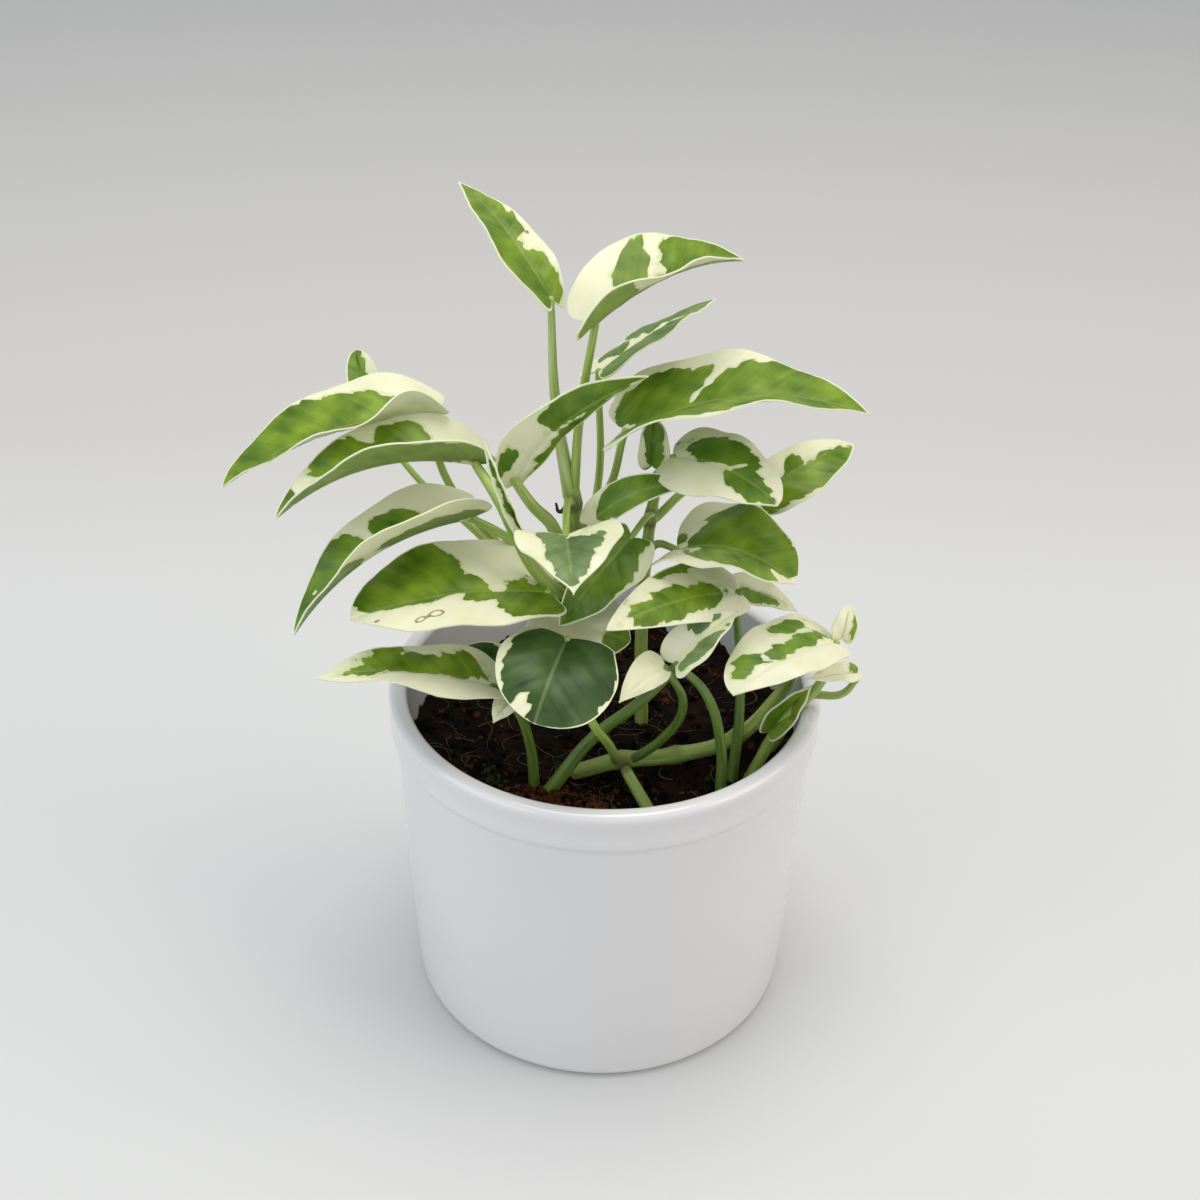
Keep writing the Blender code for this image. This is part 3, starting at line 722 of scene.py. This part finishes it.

# The skins of the upper side and of the underside, as lit and shaded copies: bright is
# yellow-green for leaves in full light, mid is painted half shade, deep is a bluish painted deep
# shade, and grey paints the sheen of a leaf that turns its wax to the light.
LEAF_SKINS = {
    "bright": (blade_material("pothos_blade_full_light", "#4b6c0f", "#829d28", 0.36),
               blade_material("pothos_underside_full_light", "#5c7a24", "#86a03c", 0.5, under=True)),
    "deep": (blade_material("pothos_blade_painted_deep_shade", "#2a421b", "#48642f", 0.36),
             blade_material("pothos_underside_painted_deep_shade", "#45602c", "#647f40", 0.5, under=True)),
    "grey": (blade_material("pothos_blade_greyish", "#4b6636", "#7d9260", 0.42),
             blade_material("pothos_underside_greyish", "#5d7446", "#869a68", 0.5, under=True)),
    "mid": (blade_material("pothos_blade_painted_half_shade", "#456a18", "#76952e", 0.36),
            blade_material("pothos_underside_painted_half_shade", "#54742a", "#758f3c", 0.5, under=True)),
}
# Stems pale with age, and those in the pot's mouth get a darker copy of the skin, as painted shade.
SKINS = {
    "stem": stem_material("pothos_stem", "#b1c469", "#7b9838", 0.4),
    "vine": stem_material("pothos_vine", "#afc36b", "#76923a", 0.45),
    "shaded": stem_material("pothos_stem_shaded", "#7f9a45", "#4d6b26", 0.42),
    "pale": stem_material("pothos_sheath", "#c6d190", "#8ea950", 0.4),
}

ROOT_BARK = stem_material("aerial_root_bark", "#4a3a24", "#2a2012", 0.8)

# ---------------------------------------------------------------- leaves

# From the crown down, then left, middle, front and right.
leaf("leaf_crown_left", (-17.5, 8, 145), (-46, 45, 165), 20, face=(0.75, -0.6, 0.2), arch=4, sweep=3,
     left=(-12, -4), right=(22, 34), wide=(0.9, 0.82), lobe=(0.55, 0.5), wave=0.5,
     green=[(0.6, 0.4, 0.5, 0.75), (0.12, 0.3, 0.22, 0.8), (0.62, -0.15, 0.4, 0.36),
            (0.16, -0.2, 0.2, 0.34)], cream=[(0.36, -0.5, 0.07, 0.4, 20)])
leaf("leaf_crown_right", (-5, 1, 141), (37, 30, 149), 33, face=(0, -0.2, 1), arch=5.5, left=(22, 18),
     right=(38, 56), belly=0.85, lobe=(0.7, 1.35), back=(0, 0.1), wide=(1.03, 0.72), wave=0.8,
     curls=[(-1, 0.0, 0.26, 70)],
     green=[(0.32, 0.38, 0.19, 0.3, 52), (0.63, 0.32, 0.17, 0.34, 45), (0.48, -0.12, 0.34, 0.2),
            (0.86, 0.2, 0.13, 0.4), (0.03, -0.5, 0.2, 0.5)])
leaf("leaf_upper_back", (-4, 18, 119), (31, 50, 129), 24, arch=2, left=(-20, -35), right=(20, 30),
     look="mid", wave=0.6,
     green=[(0.2, 0.4, 0.13, 0.35), (0.52, 0.5, 0.2, 0.45), (0.3, -0.55, 0.45, 0.42), (0.8, 0, 0.2, 0.5)])
leaf("leaf_right_large", (4, 2, 108), (72, -2, 117), 46, arch=8, left=(12, 14), right=(16, 20),
     full=(0.85, 1), wave=1.3, wide=(1.02, 1),
     green=[(0.17, 0.38, 0.2, 0.46, 14), (0.5, 0.05, 0.45, 0.62), (0.78, 0.3, 0.26, 0.56),
            (0.3, -0.4, 0.34, 0.42), (0.74, -0.35, 0.2, 0.4)],
     cream=[(0.40, 0.5, 0.16, 0.07, 50), (0.46, 0.82, 0.11, 0.2, 50), (0.6, 0.96, 0.2, 0.24)])
leaf("leaf_upper_middle", (-27, -4, 94), (10, -4, 128), 22, face=(0, -0.85, 0.53), arch=5, sweep=4,
     left=(40, 46), right=(-55, -85), wide=(1.0, 0.5), full=(0.85, 1), lobe=(0.3, 0.35), look="mid",
     wave=0.6,
     green=[(0.12, 0.55, 0.1, 0.25), (0.7, 0.35, 0.34, 0.5), (0.82, 0.6, 0.2, 0.5), (0.6, -0.5, 0.5, 0.4)],
     cream=[(0.3, 0.6, 0.1, 0.6)])
leaf("leaf_left_far", (-52, 10, 108), (-112, -2, 89), 34, arch=5.5, left=(16, 32), right=(13, 27),
     full=(0.8, 0.6), wide=(1.05, 1.05), lobe=(0.9, 0.7), wave=0.9, curls=[(1, 0.06, 0.15, 60)],
     green=[(0.54, -0.32, 0.4, 0.52), (0.8, -0.4, 0.24, 0.5), (0.9, -0.3, 0.16, 0.5),
            (0.62, 0.1, 0.42, 0.4), (0.72, 0.45, 0.28, 0.3)])
leaf("leaf_left_second", (-38, -5, 100), (-94, -18, 88), 30, arch=8, left=(40, 62), right=(26, 38),
     full=(1, 0.75), wide=(0.95, 1.0), lobe=(0.8, 0.8), wave=0.8,
     green=[(0.33, -0.56, 0.12, 0.3), (0.5, -0.3, 0.25, 0.25), (0.62, -0.5, 0.12, 0.26),
            (0.96, -0.5, 0.1, 0.6), (0.5, 0.42, 0.62, 0.52)])
leaf("leaf_back_small", (-72, 36, 92), (-80, 50, 109), 12, face=(0, -0.9, 0.4), arch=2, left=(20, 30),
     right=(20, 30), full=(0.5, 0.45), wide=(1.0, 1.15), look="mid", wave=0.2,
     green=[(0.55, 0.3, 0.6, 0.72)])
leaf("leaf_left_third", (-40, -8, 84), (-89, -32, 58), 33, face=(-0.2, -0.1, 1), arch=8, left=(38, 64),
     right=(14, 22), full=(1, 0.85), look="mid", wave=0.9,
     green=[(0.33, -0.38, 0.12, 0.28, -15), (0.1, -0.12, 0.16, 0.14), (0.66, -0.42, 0.17, 0.36),
            (0.92, -0.3, 0.12, 0.6), (0.2, 0.25, 0.25, 0.32), (0.75, 0.3, 0.22, 0.5)])
leaf("leaf_left_front", (-17, -22, 68), (-72, -34, 65), 42, arch=4, left=(2, 4), right=(14, 16),
     belly=0.6, full=(0.9, 0.62), wide=(0.9, 1.0), look="bright", slot="leaf_mostly_green", wave=0.8,
     green=[(0.72, -0.48, 0.30, 0.62, -14), (0.48, -0.14, 0.2, 0.16), (0.10, 0.32, 0.19, 0.42),
            (0.33, 0.13, 0.1, 0.17), (0.15, -0.2, 0.045, 0.12)], cream=[(0.22, -0.5, 0.16, 0.38)],
     scar=True)
leaf("leaf_rim_left", (-32, -38, 46), (-81, -42, 50), 26, arch=4, left=(6, 4), right=(8, 12),
     full=(0.9, 0.75), wide=(0.8, 0.95), look="bright", wave=1.2, waves=1.6, phase=1.0,
     green=[(0.42, -0.26, 0.34, 0.3), (0.2, -0.5, 0.12, 0.28), (0.62, -0.62, 0.1, 0.4),
            (0.74, 0, 0.12, 0.2)], cream=[(0.36, -0.72, 0.12, 0.14)])
leaf("leaf_front", (-11, -35, 61), (-19, -60, 50), 34, face=(0, -0.5, 0.85), arch=3, left=(5, -14),
     right=(5, -10), belly=0.6, full=(0.36, 0.62), wide=(1.08, 0.96), look="deep",
     slot="leaf_mostly_green", wave=0.8, waves=1.2,
     green=[(0.4, 0.1, 0.62, 0.95), (0.72, 0.35, 0.4, 0.62)], cream=[(0.9, -0.3, 0.2, 0.17)])
leaf("leaf_front_under", (-21, -19, 58), (7, -27, 55), 32, face=(0, -0.5, 0.85), arch=2, left=(5, 10),
     right=(5, 10), full=(0.7, 0.7), wave=0.8,
     green=[(0.3, 0.55, 0.2, 0.26), (0.88, 0, 0.12, 0.35)])
leaf("leaf_heart", (-12, -22, 87), (-9, -46, 83), 33, face=(0, -0.4, 0.9), arch=2, left=(10, 20),
     right=(10, 20), full=(1.35, 1.5), wide=(0.98, 0.92), look="grey", wave=0.7,
     green=[(0.45, 0.02, 0.42, 0.4), (0.25, 0.36, 0.2, 0.3), (0.12, -0.3, 0.14, 0.22)],
     cream=[(0.05, 0.7, 0.13, 0.4)])
leaf("leaf_shaded", (6.5, -9.5, 79.5), (-13.5, -27, 60), 22, face=(-0.2, -0.8, 0.5), arch=3,
     left=(10, 20), right=(10, 20), full=(0.8, 0.8), wide=(1, 0.7), look="mid", slot="leaf_mostly_green",
     green=[(0.5, -0.1, 0.62, 0.92)])
leaf("leaf_arching_back", (-6, -7, 82), (28, -6, 96), 24, face=(0, -0.5, 0.85), arch=8.5, left=(0, 5),
     right=(-30, -50), wide=(0.55, 0.35), look="mid", wave=0.4,
     green=[(0.45, 0.1, 0.36, 0.45), (0.85, 0.1, 0.2, 0.4)])
leaf("leaf_inner_left", (-26.5, -29, 42.5), (-45, -20, 46), 15, face=(0, -0.3, 0.95), arch=2,
     left=(10, 20), right=(10, 20), look="deep", slot="leaf_mostly_green", wave=0.4,
     green=[(0.45, 0, 0.5, 0.7)])
leaf("leaf_small_white", (-25.5, -40, 43), (-31, -51, 43), 9, face=(-0.2, -0.5, 0.8), arch=1,
     left=(10, 10), right=(10, 10), slot="leaf_mostly_cream", wave=0.2)
leaf("leaf_centre_low", (38, -18, 67), (0, -42, 69), 26, face=(0, -0.3, 0.95), arch=4, left=(-20, -40),
     right=(4, 14), full=(0.8, 0.8), wide=(0.62, 0.95), look="bright", wave=0.6,
     green=[(0.5, 0.02, 0.38, 0.36), (0.45, -0.84, 0.3, 0.15), (0.84, -0.62, 0.1, 0.22)])
leaf("leaf_white_left", (17, -38, 54), (4, -51, 51), 16, face=(0, -0.5, 0.85), arch=2, left=(-30, -60),
     right=(10, 20), wide=(0.45, 0.85), slot="leaf_mostly_cream", wave=0.4)
leaf("leaf_white_right", (20, -36, 54), (37, -28, 67), 18, face=(0, -0.5, 0.85), arch=2, left=(14, 24),
     right=(30, 45), wide=(0.85, 0.9), look="grey", wave=0.5,
     green=[(0.66, 0.5, 0.26, 0.36), (0.4, -0.4, 0.36, 0.26)])
leaf("leaf_right_curled", (18, 0, 101), (47, -18, 96), 24, face=(0, -0.3, 1), arch=5, left=(8, 6),
     right=(4, -14), full=(0.45, 0.8), wide=(1.05, 1.15), lobe=(1, 0.7), look="mid", wave=0.8,
     green=[(0.36, 0.42, 0.32, 0.4, 6), (0.74, -0.1, 0.22, 0.38, -8)])
leaf("leaf_young_lobe", (12, 2, 97), (12, 4, 111), 8, face=(0, -1, 0.2), arch=1, left=(15, 22),
     right=(15, 22), full=(0.4, 0.4), wide=(1.1, 1.35), look="mid", wave=0.1,
     green=[(0.5, 0, 0.6, 0.75)])
leaf("leaf_right_up", (45, 12, 83), (74, 30, 91), 26, face=(0, -0.6, 0.8), arch=5, left=(10, 20),
     right=(10, 20), full=(0.9, 0.85), wide=(0.56, 0.85), wave=0.6,
     green=[(0.33, -0.35, 0.4, 0.4), (0.7, -0.22, 0.25, 0.3), (0.36, 0.1, 0.09, 0.24, 20)],
     cream=[(0.5, 0.3, 0.07, 0.25, 30)])
leaf("leaf_right_broad", (20, -8, 75), (53, -22, 73), 36, face=(0, -0.1, 1), arch=6, left=(8, 10),
     right=(15, 20), belly=0.85, full=(0.5, 0.8), wide=(1.06, 1.04), lobe=(1.3, 1.15), look="bright",
     slot="leaf_mostly_green", wave=0.9,
     green=[(0.56, 0.4, 0.44, 0.75), (0.55, -0.45, 0.4, 0.35), (0.02, 0.2, 0.06, 0.12),
            (0.2, 0.1, 0.14, 0.3)],
     cream=[(0.22, -0.3, 0.05, 0.2), (0.04, 0.75, 0.13, 0.45), (0.86, 0.72, 0.07, 0.14)])
leaf("leaf_back_right", (38, 6, 54), (58, 2, 48), 16, face=(0, -0.4, 0.9), arch=2, left=(10, 20),
     right=(10, 20), wide=(0.65, 0.75), look="mid", wave=0.4,
     green=[(0.2, -0.35, 0.25, 0.4), (0.62, -0.2, 0.14, 0.2)])
leaf("leaf_right_front", (67, -22, 53), (36, -45, 50), 26, face=(0, -0.2, 1), arch=5, left=(-5, -30),
     right=(5, 4), belly=0.7, full=(1, 0.4), wide=(0.6, 1.05), look="mid", slot="leaf_mostly_cream",
     wave=0.9,
     green=[(0.38, -0.2, 0.27, 0.17, 4), (0.79, -0.36, 0.12, 0.26), (0.3, -0.72, 0.16, 0.17)])
leaf("leaf_right_curl", (69, -19.5, 53), (71, -12, 60), 12, face=(0, -0.8, 0.5), arch=2, left=(30, 40),
     right=(20, 50), wide=(0.8, 0.7), slot="leaf_mostly_cream", wave=0.3,
     green=[(0.55, -0.65, 0.4, 0.22)])
leaf("leaf_right_edge", (74.5, -20, 41), (58, -33, 47.5), 8, face=(0, -0.6, 0.8), arch=1, left=(10, 20),
     right=(10, 20), wide=(0.8, 0.9), slot="leaf_mostly_cream", wave=0.5,
     green=[(0.02, -0.4, 0.14, 0.5)])
leaf("leaf_spear", (-23.5, -20.5, 86), (-35, -18, 115), 6.5, face=(-0.3, -0.8, 0.4), arch=1,
     left=(40, 70), right=(40, 70), wave=0.2, look="mid",
     green=[(0.2, 0.1, 0.9, 0.4)])
leaf("leaf_rolled", (50, -21, 19), (61, -23, 38), 10, face=(-0.3, -1, 0.3), arch=-2, left=(20, 45),
     right=(25, 50), wave=0.3,
     green=[(0.5, 0, 0.9, 2.2)])


# ---------------------------------------------------------------- stems

stem("vine_centre", foot("vine_centre") + [(-4, 17, 30), (-9, 9, 62), (-11, 3, 88)],
     (2.6, 2.6, 2.5, 2.4, 2.3), joints=[(-9, 9, 62), (-10.3, 6, 72), (-10.8, 4, 83)], skin="vine")
stem("vine_left",
     foot("vine_left") + [(-15, 9, 30), (-13.5, 1, 58), (-16.5, -4.5, 80), (-22, -5.5, 87), (-27.5, -4.5, 95)],
     (2.6, 2.6, 2.4, 2.2, 1.9, 1.7, 1.4), joints=[(-14.5, 5, 42), (-14, 3, 52), (-15, -2, 70)], skin="vine")
stem("vine_back", foot("vine_back") + [(11, 8, 40), (12, 8, 70), (14, 6, 92)], (2.2, 2.2, 2.0, 1.8, 1.6),
     joints=[(12, 8, 64), (12.5, 7.6, 77)], skin="vine")
stem("vine_right",
     foot("vine_right") + [(4, -20, 5.5), (20, -17, 5.5), (42, -8, 7), (55, 0, 18), (59, -5, 31)],
     (2.4, 2.5, 2.6, 2.5, 2.4, 2.0, 1.6), joints=[(6, -20, 5.5), (22, -16, 5.5), (42, -8, 7)],
     skin="vine", reach=7, cut=(0,))
stem("stub_front", foot("stub_front") + [(7, -29, 9)], (1.9, 1.9, 1.7), skin="vine", cut=(2,))


def grow_aerial_root():
    """A short dark root that curls out of the tall vine's joint and has no CAD node."""
    places = [on_soil(p) for p in ((-12, 1, 84), (-14.5, -1.5, 83), (-15.5, -2, 86))]
    girths = [r * MM for r in (0.9, 0.6, 0.35)]
    root = tube("aerial_root", curve_points(places, girths, False, 6), 8)
    weld(root)
    face_out(root)
    root.data.materials.append(ROOT_BARK)
    smooth(root, 60)
    ride_in(root)


grow_aerial_root()

stem("petiole_crown_left", [(-11.5, 3, 86), (-16, 5, 115), (-17.5, 8, 145)], (2.3, 1.5, 1.0), skin="pale")
stem("petiole_crown_right", [(-10.4, 2.8, 86), (-9, 2, 112), (-5, 1, 141)], (1.5, 1.3, 1.1))
stem("petiole_upper_back", [(-9, 9, 62), (-4, 17, 78), (-4, 18, 119)], (1.4, 1.2, 1.0))
stem("petiole_right_large", [(-10.3, 6, 72), (-2, 8, 82), (4, 2, 108)], (1.4, 1.3, 1.1))
stem("petiole_left_far", [(-14, 2.5, 52), (-34, 6, 68), (-49, 10, 88), (-52, 10, 108)],
     (1.5, 1.3, 1.2, 1.0))
stem("petiole_left_second",
     [(-14, 2, 55), (-12, -9, 58), (-14.5, -16.5, 65), (-21, -20, 75), (-26.7, -19, 86.8),
      (-31, -16.5, 95), (-38, -8, 101.5)], (1.7, 1.8, 1.9, 1.95, 1.9, 1.7, 1.3))
stem("petiole_back_small", [(-14.5, 5, 42), (-38, 16, 62), (-62, 28, 80), (-72, 36, 92)],
     (1.2, 1.1, 1.0, 0.8))
stem("petiole_left_third", [(-15, -2, 68), (-24, -5, 71), (-31, -7.5, 78.5), (-40, -8, 84)],
     (1.4, 1.4, 1.3, 1.2))
stem("petiole_left_front", [(-14, 0, 57), (-18, -13, 63), (-17, -22, 68)], (1.3, 1.2, 1.1))
stem("petiole_rim_left", foot("petiole_rim_left") + [(-22, -29, 18), (-26, -33, 35), (-32, -38, 46)],
     (1.7, 1.7, 1.5, 1.3, 1.1), skin="shaded")
stem("petiole_front", [(4, -20, 5.5), (2, -34, 22), (-5, -43, 42), (-11, -35, 61)], (1.6, 1.4, 1.3, 1.1))
stem("petiole_heart", [(-10.8, 4, 83), (-12, -10, 90), (-12, -22, 87)], (1.2, 1.1, 1.0))
stem("petiole_shaded", [(13, 7, 78), (11, 0, 81), (6.5, -9.5, 79.5)], (1.1, 1.0, 0.9))
stem("petiole_centre_low", foot("petiole_centre_low") + [(-4, -26, 18), (14, -30, 40), (38, -18, 67)],
     (2.2, 2.2, 1.9, 1.6, 1.2), skin="shaded")
stem("petiole_white_left", [(8, -20, 5.5), (17, -23, 16), (23, -31, 36), (17, -38, 54)],
     (1.6, 1.4, 1.3, 1.0), skin="shaded")
stem("petiole_white_right", foot("petiole_white_right") + [(35, -30, 20), (29, -33, 42), (20, -36, 54)],
     (1.8, 1.8, 1.6, 1.4, 1.0), skin="shaded")
stem("petiole_right_curled", [(14, 6, 92), (15.5, 3, 98), (18, 0, 101)], (1.2, 1.1, 1.0))
stem("petiole_right_up", [(12.5, 7.6, 75), (28, 16, 84), (45, 12, 83)], (1.4, 1.2, 1.0))
stem("petiole_right_broad", [(12, 8, 64), (15, 0, 72), (20, -8, 75)], (1.3, 1.2, 1.0))
stem("petiole_back_right", foot("petiole_back_right") + [(41, -18, 24), (40, -6, 44), (38, 6, 54)],
     (1.8, 1.8, 1.5, 1.3, 1.0), skin="shaded")
stem("petiole_right_front", foot("petiole_right_front") + [(54, -20, 22), (64, -21, 38), (67, -22, 53)],
     (1.9, 1.9, 1.7, 1.4, 1.1))
stem("petiole_right_edge",
     foot("petiole_right_edge") + [(57, -10, 14), (62, -12, 26), (71, -16, 30), (75, -20, 39)],
     (1.6, 1.6, 1.4, 1.3, 1.2, 0.9))


# ---------------------------------------------------------------- pot and soil

FOOT_INSET = 5.2
COLLAR_STEP = 1.5
COLLAR_HEIGHT = 11.0
STEP_HEIGHT = 4.0
MOUTH = POT_RADIUS - WALL
POT_FLOOR = 6.0
POT_SIDES = 160
BED_CELLS = 170


def arc(radius, height, size, start, end, steps):
    """Points of a profile on an arc about (radius, height)."""
    turn = [math.radians(start + (end - start) * i / steps) for i in range(steps + 1)]
    return [(radius + size * math.cos(a), height + size * math.sin(a)) for a in turn]


def turn_pot():
    """The pot on its wheel profile, from the centre of its foot round to the centre of its floor."""
    foot_radius = POT_RADIUS - FOOT_INSET
    body = POT_RADIUS - COLLAR_STEP
    top = POT_HEIGHT - COLLAR_HEIGHT - STEP_HEIGHT
    edge, lip, inner_lip = 4, 2.4, 2.28
    # The hollow under the foot, and the ring that it stands on.
    profile = [(0, 1.2), (foot_radius - 9, 1.2), (foot_radius - 8, 0.6), (foot_radius - 7, 0.05),
               (foot_radius - edge, 0)]
    profile += arc(foot_radius - edge, edge, edge, -80, 0, 8)
    for i in range(1, 13):
        share = i / 12
        profile.append((foot_radius + (body - foot_radius) * share, edge + (top - edge) * share))
    for i in range(1, 9):
        share = i / 8
        ease = share * share * (3 - 2 * share)
        profile.append((body + (COLLAR_STEP - 0.1) * ease, top + (STEP_HEIGHT - 0.4) * share))
    # The collar is a little hollow below its rolled lip.
    profile += [(POT_RADIUS - inset, POT_HEIGHT - down)
                for inset, down in ((0.25, 9.5), (0.7, 7.5), (0.75, 6), (0.35, 4.4), (0.05, 3.3))]
    profile += arc(POT_RADIUS - lip, POT_HEIGHT - lip, lip, 0, 90, 8)
    profile += arc(MOUTH + inner_lip, POT_HEIGHT - inner_lip, inner_lip, 90, 180, 8)
    profile += [(MOUTH, POT_HEIGHT - COLLAR_HEIGHT - 1), (MOUTH - 0.9, SOIL_TOP - 2), (MOUTH - 3.5, 30)]
    profile += arc(MOUTH - 9.7, POT_FLOOR + 6, 6, 0, -90, 5)
    profile += [(0, POT_FLOOR)]
    pot = grid("glazed_pot", len(profile) - 1, POT_SIDES)
    for vert in pot.data.vertices:
        r, z = profile[round((vert.co.x + 0.5) * (len(profile) - 1))]
        a = (vert.co.y + 0.5) * math.tau
        vert.co = (r * math.cos(a) * MM, r * math.sin(a) * MM, z * MM)
    weld(pot)
    face_out(pot)
    pot.data.materials.append(glaze_material())
    smooth(pot, 35)
    put_in(pot, "glaze", "pot")


def soil_height(x, y):
    """How far the bed stands above its level: lumps 20 and 7 mm wide, and crumbs of 2 and 1 mm."""
    p = Vector((x, y, 0))
    lumps = 2.2 * noise.noise(p * 0.05) + 1.6 * noise.noise(p * 0.14 + Vector((3, 1, 7)))
    crumbs = 1.1 * abs(noise.noise(p * 0.42)) + 0.7 * abs(noise.noise(p * 0.95 + Vector((5, 2, 1))))
    return lumps + crumbs


def lay_soil():
    """The bed: a round lumpy top, extruded down to the pot's floor."""
    bed = grid("potting_mix", BED_CELLS, BED_CELLS)
    for vert in bed.data.vertices:
        a, b = vert.co.x * 2, vert.co.y * 2
        x, y = a * math.sqrt(1 - b * b / 2), b * math.sqrt(1 - a * a / 2)
        edge = math.hypot(x, y)
        x, y = x * SOIL_RADIUS, y * SOIL_RADIUS
        vert.co = (x * MM, y * MM, (SOIL_TOP + soil_height(x, y) * (1 - 0.7 * edge ** 8)) * MM)
    pick(bed)
    bpy.ops.object.mode_set(mode="EDIT")
    bpy.ops.mesh.select_all(action="DESELECT")
    bpy.ops.mesh.select_non_manifold(extend=False)
    down = (0, 0, (SOIL_FOOT - SOIL_TOP) * MM)
    bpy.ops.mesh.extrude_region_move(TRANSFORM_OT_translate={"value": down})
    bpy.ops.transform.resize(value=(0.85, 0.85, 0), center_override=(0, 0, SOIL_FOOT * MM))
    bpy.ops.mesh.edge_face_add()
    bpy.ops.object.mode_set(mode="OBJECT")
    face_out(bed)
    bed.data.materials.append(soil_material("damp_peat", "#1c120c", "#4a2817", 1400.0))
    smooth(bed, 60)
    put_in(bed, "soil", "soil")


def copy_onto(pattern, count, place_one):
    """Joins copies of a modelled piece, each put in place by place_one()."""
    copies = []
    for _ in range(count):
        made = pattern.copy()
        made.data = pattern.data.copy()
        bpy.context.scene.collection.objects.link(made)
        made.data.transform(place_one())
        copies.append(made)
    clear_selection()
    for made in copies:
        made.select_set(True)
    bpy.context.view_layer.objects.active = copies[0]
    bpy.ops.object.join()
    bpy.data.objects.remove(pattern)
    return copies[0]


def somewhere(reach=0.96):
    """A random place on the bed."""
    a = random.uniform(0, math.tau)
    r = SOIL_RADIUS * reach * math.sqrt(random.random())
    return r * math.cos(a), r * math.sin(a)


def in_clump(clump):
    """A random place in a clump, given as the middle and spread of its x and of its y."""
    x, y = (random.gauss(middle, spread) for middle, spread in clump)
    if math.hypot(x, y) > SOIL_RADIUS * 0.96:
        return somewhere()
    return x, y


def crumb_pattern(name, seed):
    """A lump 2 mm across, to be scaled."""
    clear_selection()
    bpy.ops.mesh.primitive_ico_sphere_add(subdivisions=2, radius=1 * MM, location=(0, 0, 0))
    crumb = bpy.context.object
    crumb.name = name
    for vert in crumb.data.vertices:
        way = vert.co.normalized()
        vert.co = vert.co * (1 + 0.55 * noise.noise(way * 1.6 + Vector((seed, 0, 0))))
    return crumb


def scatter_crumbs(name, count, skin, sizes, clump=None):
    """Loose crumbs on the bed, most of them heaped in a clump if one is given."""
    def put():
        x, y = in_clump(clump) if clump and random.random() < 0.8 else somewhere()
        size = random.uniform(*sizes)
        spin = random.uniform(0, math.tau)
        axis = Vector((random.random(), random.random(), 1)).normalized()
        shape = (size * random.uniform(0.8, 1.6), size, size * random.uniform(0.5, 0.9), 1)
        heap = 0.3
        if clump:
            heap = 2.0 * math.exp(-(math.hypot(x - clump[0][0], y - clump[1][0]) / 8) ** 2)
        z = SOIL_TOP + soil_height(x, y) + size * 0.25 + random.uniform(0, heap)
        place = Matrix.Translation(Vector((x, y, z)) * MM)
        return place @ Matrix.Rotation(spin, 4, axis) @ Matrix.Diagonal(shape)

    crumbs = copy_onto(crumb_pattern(name, count * 0.37), count, put)
    crumbs.name = name
    crumbs.data.materials.append(skin)
    smooth(crumbs, 50)
    ride_in(crumbs)


def scatter_fibres(name, count, skin, bend):
    """Loose coir and root hairs, 10 mm long and 0.2 mm thick, lying over the bed."""
    spine = []
    for i in range(9):
        s = i / 8
        place = Vector((s - 0.5, 0.16 * math.sin(s * 5 + bend), 0.10 * math.sin(s * math.pi))) * 10 * MM
        spine.append((place, 0.11 * MM * (1 - 0.5 * s)))
    strand = tube(name, spine, 4)
    weld(strand, 1e-8)
    face_out(strand)

    def put():
        x, y = somewhere(0.9)
        size = random.uniform(0.5, 1.5)
        turn = Matrix.Rotation(random.uniform(0, math.tau), 4, "Z")
        tilt = Matrix.Rotation(random.uniform(-0.35, 0.35), 4, "Y")
        z = SOIL_TOP + soil_height(x, y) + random.uniform(0.2, 1.0)
        place = Matrix.Translation(Vector((x, y, z)) * MM)
        return place @ (turn @ tilt) @ Matrix.Diagonal((size, size * random.uniform(0.6, 1.8), 1, 1))

    strands = copy_onto(strand, count, put)
    strands.name = name
    strands.data.materials.append(skin)
    ride_in(strands)


turn_pot()
lay_soil()
PEAT = soil_material("peat_crumbs", "#1a110b", "#40271a", 1400.0)
COIR = soil_material("coir_crumbs", "#7c4524", "#a8663a", 1600.0)
FIBRE = soil_material("coir_fibre", "#a5865c", "#cbb48c", 2600.0)
MOSS = soil_material("moss_tuft", "#4b5a2c", "#74813f", 1600.0)
scatter_crumbs("peat_crumbs", 420, PEAT, (0.6, 1.9))
scatter_crumbs("coir_clump", 620, COIR, (0.4, 1.3), clump=((-18, 11), (-40, 6)))
scatter_crumbs("moss_tufts", 70, MOSS, (0.4, 1.0), clump=((-34, 5), (-26, 4)))
scatter_crumbs("coir_specks", 120, COIR, (0.3, 0.8))
scatter_fibres("coir_strands", 90, FIBRE, 0.4)
scatter_fibres("root_hairs", 70, FIBRE, 2.1)


# ---------------------------------------------------------------- studio

def build_studio():
    clear_selection()
    bpy.ops.mesh.primitive_plane_add(size=FLOOR_SIZE, location=(0, 0, FLOOR_LEVEL))
    floor = bpy.context.object
    floor.name = "studio_floor"
    floor.data.transform(floor.matrix_world)
    floor.matrix_world = Matrix.Identity(4)
    floor.data.materials.append(floor_material())
    world = bpy.data.worlds.new("studio_air")
    world.use_nodes = True
    air = world.node_tree.nodes["Background"]
    air.inputs["Color"].default_value = linear(AIR_COLOUR)
    air.inputs["Strength"].default_value = AIR_STRENGTH
    bpy.context.scene.world = world
    for name, place, size, watts, colour in LIGHTS:
        data = bpy.data.lights.new(name, "AREA")
        data.size = size
        data.energy = watts
        data.color = linear(colour)[:3]
        lamp = bpy.data.objects.new(name, data)
        bpy.context.scene.collection.objects.link(lamp)
        lamp.location = place
        lamp.rotation_euler = (Vector(LIGHTS_AIM) - Vector(place)).to_track_quat("-Z", "Y").to_euler()
    bpy.context.scene.view_settings.view_transform = "Standard"


build_studio()
